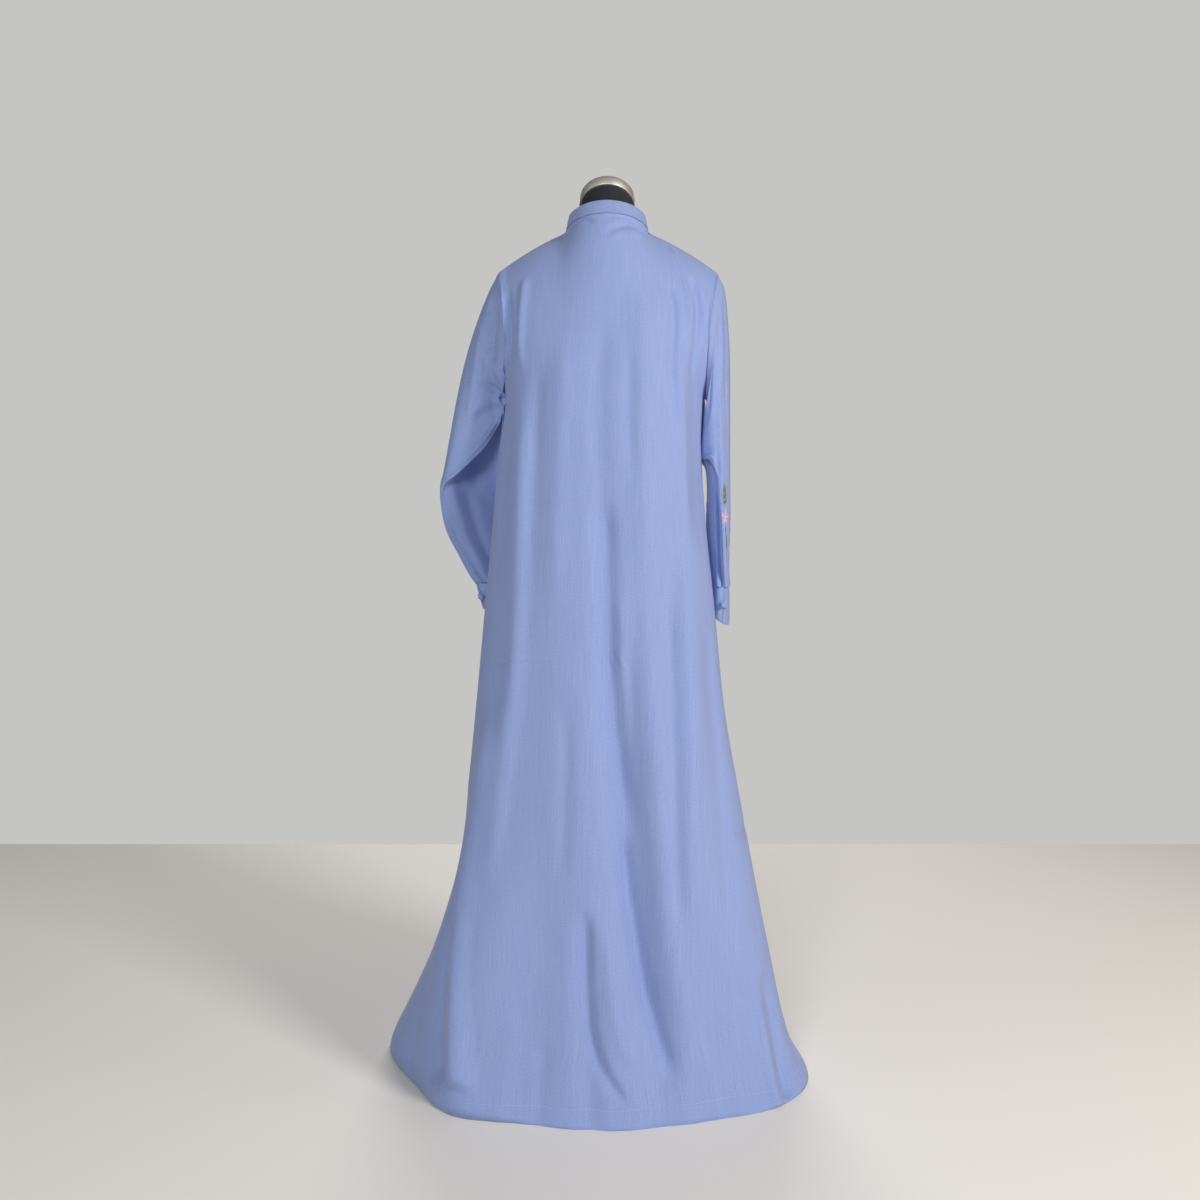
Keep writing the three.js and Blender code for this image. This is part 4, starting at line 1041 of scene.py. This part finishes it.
def ballMesh(name, base, out):
    # a squashed ball whose sides are gathered in fine pleats towards the shank
    turn = np.linspace(0, 2 * np.pi, 48, endpoint=False)[None, :]
    rise = np.linspace(0.04, np.pi - 0.03, 28)[:, None]
    nearShank = np.exp(-((rise - 0.5) / 0.5) ** 2)
    pleat = 1 + closures["pleatDepth"] * np.cos(closures["pleats"] * turn) * nearShank
    radius, flat, shank = closures["radius"], closures["flatness"], closures["shank"]
    ring = radius * np.sin(rise) * pleat
    neck = np.maximum(ring, closures["shankRadius"] * (rise < 0.6))
    height = shank + radius * flat * (1 - np.cos(rise)) - closures["dimple"] * np.exp(-((rise / 0.3) ** 2))
    side = np.cross(out, (0.3, 0.2, 0.9))
    side /= np.linalg.norm(side)
    other = np.cross(out, side)
    around = side * (neck * np.cos(turn))[..., None] + other * (neck * np.sin(turn))[..., None]
    points = base + out * height[..., None] + around
    uv = grainOf(np.concatenate([points, points[:, :1]], axis=1), 24)
    return gridMesh(name, points, uv, wraps=True)


def tubeMesh(name, path, radius, sides, twist):
    # a ring carried along a path, square to it and turned a little at each step, closed at both ends
    path = np.asarray(path, float)
    ahead = np.gradient(path, axis=0)
    ahead /= np.linalg.norm(ahead, axis=1, keepdims=True) + 1e-9
    helper = np.tile([0.31, 0.17, 0.93], (len(path), 1))
    side = np.cross(ahead, helper)
    side /= np.linalg.norm(side, axis=1, keepdims=True) + 1e-9
    other = np.cross(ahead, side)
    turn = np.linspace(0, 2 * np.pi, sides, endpoint=False)[None, :] + twist * np.arange(len(path))[:, None]
    size = np.full(len(path), radius, float)
    size[[0, -1]] = radius * 0.05
    ring = np.cos(turn)[..., None] * side[:, None] + np.sin(turn)[..., None] * other[:, None]
    points = path[:, None] + ring * size[:, None, None]
    uv = grainOf(np.concatenate([points, points[:, :1]], axis=1), sides // 2)
    return gridMesh(name, points, uv, wraps=True)


def smoothPath(places, steps):
    # a cubic through places spaced by their distance
    places = np.asarray(places, float)
    knots = np.r_[0, np.cumsum(np.linalg.norm(np.diff(places, axis=0), axis=1))]
    return spreadMatrix(knots, np.linspace(0, knots[-1], steps)) @ places


def addClosure(label, points, normals, nodes):
    # a button by one end of a band and a cord loop that comes over from the other end, round it and back
    inset, half, reach, cord = (closures[key] for key in ("inFromEdge", "halfWidth", "reach", "cord"))
    base, out = onBand(points, normals, inset, 0, closures["buttonLift"])
    name = f"{label}Button"
    addPiece(name, ballMesh(name, base, out), trimMaterial, [nodes[0]])
    there = [(-reach, 0.8), (-reach / 2, 0.92), (0, 1), (inset, 1), (inset + half * 0.75, 0.7)]
    marks = there + [(inset + half, 0)] + [(across, -up) for across, up in there[::-1]]
    lift = cord + closures["cordLift"]
    path = smoothPath([onBand(points, normals, a, b * half, lift)[0] for a, b in marks], closures["steps"])
    name = f"{label}Loop"
    mesh = tubeMesh(name, path, cord, closures["cordSides"], closures["twist"])
    addPiece(name, mesh, trimMaterial, [nodes[1]])


for hand in ("left", "right"):
    addClosure(f"{hand}Cuff", *cuffGrids[hand], (f"cuff_button_{hand}", f"cuff_loop_{hand}"))
addClosure("collar", collarPoints, collarNormals, ("collar_button", "collar_loop"))
print("buttons and loops made")

# stitches
stitching = {
    "pitch": 2.7, "length": 2.05, "radius": 0.24, "lift": 0.05, "arch": 0.2,
    "taper": (0.1, 0.85, 1, 0.85, 0.1), "thread": (0.42, 0.52, 0.82),
    "seamInsets": (1.7, 5.0), "slitInset": 3.2,
}
seamThread = threadMaterial("seamThread", stitching["thread"])


def joinedTubes(name, starts, ends, outs, radius, arch, sides=6):
    # one short thread from each start to its end, arched outwards by a parabola and thin at both ends
    taper = np.array(stitching["taper"], float)
    share = np.linspace(0, 1, len(taper))[None, :, None]
    ahead = ends - starts
    side = np.cross(ahead, outs)
    side /= np.linalg.norm(side, axis=1, keepdims=True) + 1e-9
    out = np.cross(side, ahead)
    out /= np.linalg.norm(out, axis=1, keepdims=True) + 1e-9
    lift = (4 * share * (1 - share) - 0.4) * arch
    line = starts[:, None] + ahead[:, None] * share + out[:, None] * lift
    turn = np.linspace(0, 2 * np.pi, sides, endpoint=False)
    size = (radius * np.broadcast_to(taper, (len(starts), len(taper))))[..., None, None]
    ring = np.cos(turn)[:, None] * side[:, None, None] + np.sin(turn)[:, None] * out[:, None, None]
    points = line[:, :, None] + ring * size
    count, rows = len(starts), len(taper)
    index = np.arange(count * rows * sides).reshape(count, rows, sides)
    beside = np.roll(index, -1, axis=2)
    quads = np.stack([index[:, :-1], index[:, 1:], beside[:, 1:], beside[:, :-1]], axis=-1).reshape(-1, 4)
    mesh = bpy.data.meshes.new(name)
    mesh.from_pydata((points.reshape(-1, 3) / 1000).tolist(), [], quads.tolist())
    mesh.polygons.foreach_set("use_smooth", np.ones(len(quads), bool))
    return mesh


def stitchLine(path, outs):
    # stitches of one length at an even pitch along a path
    walked = np.r_[0, np.cumsum(np.linalg.norm(np.diff(path, axis=0), axis=1))]
    begin = np.arange(0, walked[-1] - stitching["length"], stitching["pitch"])

    def at(distance, values):
        return np.stack([np.interp(distance, walked, values[:, k]) for k in range(3)], axis=-1)

    return at(begin, path), at(begin + stitching["length"], path), at(begin, outs)


def addStitches(name, lines):
    # stitches along all these lines in one mesh
    parts = [stitchLine(path, outs) for path, outs in lines]
    starts, ends, outs = (np.vstack([part[k] for part in parts]) for k in range(3))
    lifted = outs * stitching["lift"]
    mesh = joinedTubes(name, starts + lifted, ends + lifted, outs, stitching["radius"], stitching["arch"])
    addPiece(name, mesh, seamThread)


def gridRow(grid, normals, position):
    # the line through a grid at a broken row number
    i = min(int(position), len(grid) - 2)
    return tuple(values[i] + (values[i + 1] - values[i]) * (position - i) for values in (grid, normals))


def bandRows(grid, normals, fromFoot, fromTop):
    # the lines at these numbers of rows from a band's two long edges
    return [gridRow(grid, normals, fromFoot), gridRow(grid, normals, len(grid) - fromTop)]


def atHeight(grid, normals, height):
    # the line round a panel at one height
    z = grid[:40, :, 2]
    row = np.argmax(z > height, axis=0)
    columns = np.arange(z.shape[1])
    share = ((height - z[row - 1, columns]) / (z[row, columns] - z[row - 1, columns]))[:, None]
    below, above = (row - 1, columns), (row, columns)
    return tuple(values[below] * (1 - share) + values[above] * share for values in (grid, normals))


for face in ("back", "front"):
    addStitches(f"{face}HemStitches", [atHeight(panels[face], panelNormals[face], body["hem"]["depth"] + 1)])
for hand in ("left", "right"):
    points, normals, share = sleeveGrids[hand][:3]
    girth = np.linalg.norm(np.roll(points, -1, axis=1) - points, axis=2).sum(axis=1)
    lines = []
    for inset in stitching["seamInsets"]:
        column = np.interp(0.5 - inset / girth, share, np.arange(len(share)))
        i = column.astype(int)
        rows = np.arange(len(points))
        part = (column - i)[:, None]
        line = (values[rows, i] * (1 - part) + values[rows, i + 1] * part for values in (points, normals))
        lines.append(tuple(line))
    addStitches(f"{hand}SleeveStitches", [(path[6:-2], outs[6:-2]) for path, outs in lines])
    grid, outs = cuffGrids[hand]
    addStitches(f"{hand}CuffStitches", bandRows(grid, outs, *cuffs["stitchRows"]))
addStitches("collarStitches", bandRows(collarPoints, collarNormals, *collar["stitchRows"]))
slitRows = slice(slitRow - 1, len(panels["front"]) - 1)
slitSides = []
for side in (-1, 1):
    path = panels["front"][slitRows, middleColumn] + (side * stitching["slitInset"], 0, 0)
    slitSides.append((path, panelNormals["front"][slitRows, middleColumn]))
addStitches("slitStitches", slitSides)
print("stitches made")

# embroidery on the lower sleeves
threads = {
    "pink": (0.72, 0.42, 0.68),
    "lilac": (0.60, 0.42, 0.78),
    "white": (0.88, 0.84, 0.86),
    "olive": (0.22, 0.21, 0.035),
    "dark": (0.055, 0.065, 0.03),
}
threadMaterials = {}
for name, colour in threads.items():
    threadMaterials[name] = threadMaterial(f"{name}Thread", colour, 0.7)

# kind, thread, share down the sleeve, share round it, size in mm, turn in degrees from straight down
motifs = [
    ("flower", "pink", 0.740, 0.440, 16, 20),
    ("sprig", "olive", 0.708, 0.438, 38, 174),
    ("stem", "dark", 0.768, 0.440, 26, -8),
    ("stem", "dark", 0.792, 0.432, 34, 2),
    ("leaf", "olive", 0.812, 0.386, 10, 30),
    ("flower", "lilac", 0.842, 0.372, 6.5, 50),
    ("leaf", "olive", 0.868, 0.384, 9, -10),
    ("flower", "pink", 0.756, 0.020, 16, 0),
    ("flower", "lilac", 0.690, 0.112, 11.5, 30),
    ("flower", "pink", 0.815, -0.075, 12, 60),
    ("flower", "lilac", 0.702, -0.100, 10, 12),
    ("flower", "pink", 0.716, 0.252, 9.5, 40),
    ("flower", "pink", 0.652, -0.250, 7, 25),
    ("flower", "pink", 0.688, -0.232, 6, 55),
    ("flower", "lilac", 0.802, -0.190, 7, 5),
    ("flower", "lilac", 0.860, 0.060, 8, 15),
    ("sprig", "olive", 0.668, 0.030, 24, 184),
    ("sprig", "olive", 0.676, -0.150, 20, 168),
    ("sprig", "olive", 0.790, 0.150, 24, 40),
    ("sprig", "olive", 0.846, -0.140, 20, -30),
    ("leaf", "olive", 0.742, 0.128, 12, 60),
    ("leaf", "olive", 0.772, -0.135, 12, -50),
    ("leaf", "olive", 0.726, -0.045, 11, 200),
    ("leaf", "olive", 0.742, 0.325, 10, 70),
    ("leaf", "olive", 0.752, -0.232, 10, -70),
    ("stem", "dark", 0.785, 0.022, 56, 2),
    ("stem", "dark", 0.718, 0.120, 40, -32),
    ("stem", "dark", 0.730, -0.098, 38, 30),
    ("stem", "dark", 0.838, -0.072, 26, 24),
    ("stem", "dark", 0.745, 0.226, 34, -36),
    ("leaf", "olive", 0.900, 0.030, 11, 10),
]


def sleeveSpot(hand, down, around, lift):
    # the place on a sleeve that lies at these shares of its length and girth, lifted off the cloth
    points, normals, share, at = sleeveGrids[hand]
    row = np.clip(np.interp(down, at, np.arange(len(at))), 0, len(at) - 1.001)
    wrapped = np.r_[share, 1.0]
    column = np.interp(np.mod(around, 1), wrapped, np.arange(len(wrapped)))
    i, j = row.astype(int), np.minimum(column.astype(int), len(share) - 1)
    a, b = (row - i)[..., None], (column - j)[..., None]
    k = (j + 1) % len(share)

    def blend(grid):
        low = grid[i, j] * (1 - b) + grid[i, k] * b
        high = grid[i + 1, j] * (1 - b) + grid[i + 1, k] * b
        return low * (1 - a) + high * a

    outs = blend(normals)
    outs /= np.linalg.norm(outs, axis=-1, keepdims=True)
    return blend(points) + outs * np.asarray(lift)[..., None]


def turned(local, degrees):
    # a flat shape turned about its root
    angle = math.radians(degrees)
    x = local[..., 0] * math.cos(angle) - local[..., 1] * math.sin(angle)
    return np.stack([x, local[..., 0] * math.sin(angle) + local[..., 1] * math.cos(angle)], axis=-1)


def ontoSleeve(hand, motif, local, lift):
    # local x runs round the sleeve and local y down it, in millimetres, turned by the motif's angle
    _, _, down, around, _, degrees = motif
    if hand == "left":
        around = min(around + onLeft["shift"], onLeft["most"])
    girth = 2 * np.linalg.norm(np.diff(sleeveEnds(hand, down), axis=0)) + girthSpare
    local = turned(local, degrees)
    return sleeveSpot(hand, down + local[..., 1] / sleeves["length"], around + local[..., 0] / girth, lift)


def sleeveEnds(hand, down):
    # the inner and the outer edge of the sleeve's section at this share of its length
    row = sleeveFrame(hand, np.array([down]))
    return [[row[f"{end}{axis}"][0] for axis in "XYZ"] for end in ("in", "out")]


# the left sleeve's motifs lie further round, kept off the elbow's edge; a few are left out there
onLeft = {"shift": 0.035, "most": 0.395, "least": -0.06}
girthSpare = 120  # a section's girth is about twice its width and this

# satin stitches: rows and columns, the fill's height, how much of it the ends keep, and its strands
satin = {
    "rows": 17, "columns": 9, "crown": 0.42, "ends": 0.35,
    "strands": 16, "strand": 0.09, "sunk": 0.12, "edge": 0.05,
}


def satinPatch(length, width, root, bend=0.0):
    # threads laid across a pointed oval: its half width is a power of a sine along it
    along = np.linspace(0, 1, satin["rows"])[:, None]
    across = np.linspace(-1, 1, satin["columns"])[None, :]
    half = width / 2 * np.sin(np.pi * along**0.85) ** 0.8 + satin["edge"]
    x = across * half + bend * length * along**2
    y = root + length * along + 0 * across
    fill = satin["ends"] + (1 - satin["ends"]) * np.sin(np.pi * along)
    crown = satin["crown"] * np.sqrt(np.clip(1 - across**2, 0, 1)) * fill
    thread = satin["strand"] * np.cos(np.pi * satin["strands"] * along) * (1 - np.abs(across))
    return np.stack([x, y], axis=-1), crown + thread - satin["sunk"]


# sizes in shares of the motif's size, but for the stems' widths in mm. A flower is rings of parts: thread or
# the motif's own, count, first angle, length, width, distance of the root from the middle and lift
shapes = {
    "leaf": {"width": 0.36, "bend": 0.08},
    "stem": {"width": 1.4, "wider": 0.06, "bend": 0.1},
    "sprig": {
        "stem": 0.8, "stemWidth": 0.9, "leaf": 0.36, "tip": 0.34, "width": 0.15,
        "pairs": 3, "spread": 38, "closing": 6, "first": 0.12, "between": 0.22, "tipAt": 0.72,
    },
    "flower": [
        (None, 5, 0, 0.82, 0.56, 0.16, 0),
        ("white", 5, 0, 0.42, 0.15, 0.2, 0.22),
        ("white", 6, 30, 0.17, 0.15, 0.02, 0.45),
    ],
}


def sprigPatches(thread, size, shape):
    # a thin stem with pairs of leaves that close towards the tip, and one leaf on the tip
    width = size * shape["width"]
    parts = [("dark", *satinPatch(size * shape["stem"], shape["stemWidth"], 0))]
    for k in range(shape["pairs"]):
        for side in (-1, 1):
            local, lift = satinPatch(size * shape["leaf"], width, 0)
            local = turned(local, side * (shape["spread"] - shape["closing"] * k))
            parts.append((thread, local + (0, size * (shape["first"] + shape["between"] * k)), lift))
    local, lift = satinPatch(size * shape["tip"], width, 0)
    return parts + [(thread, local + (0, size * shape["tipAt"]), lift)]


def patchesOf(motif):
    # every motif as satin patches: a thread's name with a local outline and its lift
    kind, thread, size, shape = motif[0], motif[1], motif[4], shapes[motif[0]]
    if kind == "leaf":
        return [(thread, *satinPatch(size, size * shape["width"], 0, shape["bend"]))]
    if kind == "stem":
        return [(thread, *satinPatch(size, shape["width"] + shape["wider"] * size, 0, shape["bend"]))]
    if kind == "sprig":
        return sprigPatches(thread, size, shape)
    parts = []
    for colour, count, start, length, width, root, raised in shape:
        for k in range(count):
            local, lift = satinPatch(size * length, size * width, size * root)
            parts.append((colour or thread, turned(local, 360 / count * k + start), lift + raised))
    return parts


def addEmbroidery(hand):
    # all patches of one thread colour go into one mesh
    grids = {}
    for motif in motifs:
        if hand == "left" and motif[3] < onLeft["least"]:
            continue
        for thread, local, lift in patchesOf(motif):
            grids.setdefault(thread, []).append(ontoSleeve(hand, motif, local, lift))
    for thread, patches in grids.items():
        patches = np.array(patches)
        count, rows, cols = patches.shape[:3]
        index = np.arange(count * rows * cols).reshape(count, rows, cols)
        corners = (index[:, :-1, :-1], index[:, :-1, 1:], index[:, 1:, 1:], index[:, 1:, :-1])
        quads = np.stack(corners if hand == "right" else corners[::-1], axis=-1).reshape(-1, 4)
        name = f"{hand}{thread.capitalize()}Embroidery"
        mesh = bpy.data.meshes.new(name)
        mesh.from_pydata((patches.reshape(-1, 3) / 1000).tolist(), [], quads.tolist())
        mesh.polygons.foreach_set("use_smooth", np.ones(len(quads), bool))
        addPiece(name, mesh, threadMaterials[thread])


for hand in ("left", "right"):
    addEmbroidery(hand)
print("embroidery made")

# the sleeve and cuff objects looked up by name
for hand, area in (("left", 0.125), ("right", 0.12)):
    sleeve = bpy.data.objects[f"{hand}SleeveCloth"]
for hand, length in (("left", 0.05), ("right", 0.06)):
    cuff = bpy.data.objects[f"{hand}CuffCloth"]

# floor and light
studio = {
    "floor": (0.86, 0.84, 0.79, 1),
    "corners": [(-2.6, -1.4, 0), (2.6, -1.4, 0), (2.6, 1.9, 0), (-2.6, 1.9, 0)],
    "below": 0.0005,
    "air": (0.80, 0.82, 0.85, 1),
    "airStrength": 0.12,
    "wall": (0.56, 0.56, 0.55, 1),
}
floorMaterial, _, floorShader = newMaterial("paleFloor")
floorShader.inputs["Base Color"].default_value = studio["floor"]
floorShader.inputs["Roughness"].default_value = 0.9
floorMesh = bpy.data.meshes.new("floor")
floorMesh.from_pydata(studio["corners"], [], [(0, 1, 2, 3)])
floorMesh.materials.append(floorMaterial)
floor = bpy.data.objects.new("floor", floorMesh)
floor.location.z = -studio["below"]
bpy.context.collection.objects.link(floor)

# place, what it points at, size in metres, watts and colour
lamps = {
    "key": ((-2.25, 2.05, 2.0), (0, 0, 0.75), 0.8, 64, (1.0, 0.97, 0.945)),
    "second": ((0.9, 2.95, 1.8), (0, 0, 0.75), 0.9, 40, (1.0, 0.99, 0.98)),
    "warm": ((-2.9, 0.75, 0.8), (0, 0, 0.55), 0.7, 10, (1.0, 0.66, 0.52)),
    "side": ((2.53, 0.68, 2.6), (0, 0, 0.75), 0.9, 4, (0.97, 0.98, 1.0)),
    "behind": ((0.1, -3.1, 2.3), (0, 0, 0.7), 2.0, 62, (1.0, 0.98, 0.96)),
}


def addLamp(name, place, target, size, energy, colour):
    # a square lamp turned so that its own -Z runs from its place to the target
    lamp = bpy.data.lights.new(name, "AREA")
    lamp.size, lamp.energy, lamp.color = size, energy, colour
    holder = bpy.data.objects.new(name, lamp)
    holder.location = place
    aim = np.array(target) - np.array(place)
    flat = math.hypot(aim[0], aim[1])
    holder.rotation_euler = (math.atan2(flat, -aim[2]), 0, math.atan2(aim[1], aim[0]) - math.pi / 2)
    bpy.context.collection.objects.link(holder)


for name, values in lamps.items():
    addLamp(name, *values)

# the room's light is weaker than the pale wall colour that the camera sees
world = bpy.data.worlds.new("studio")
world.use_nodes = True
roomTree = world.node_tree
room = roomTree.nodes["Background"]
room.inputs["Color"].default_value = studio["air"]
room.inputs["Strength"].default_value = studio["airStrength"]
wall = addNode(roomTree, "ShaderNodeBackground", Color=studio["wall"], Strength=1.0)
seen = addNode(roomTree, "ShaderNodeLightPath").outputs["Is Camera Ray"]
either = addNode(roomTree, "ShaderNodeMixShader")
roomTree.links.new(seen, either.inputs[0])
roomTree.links.new(room.outputs[0], either.inputs[1])
roomTree.links.new(wall.outputs[0], either.inputs[2])
roomTree.links.new(either.outputs[0], roomTree.nodes["World Output"].inputs["Surface"])
bpy.context.scene.world = world
print("floor and light set")
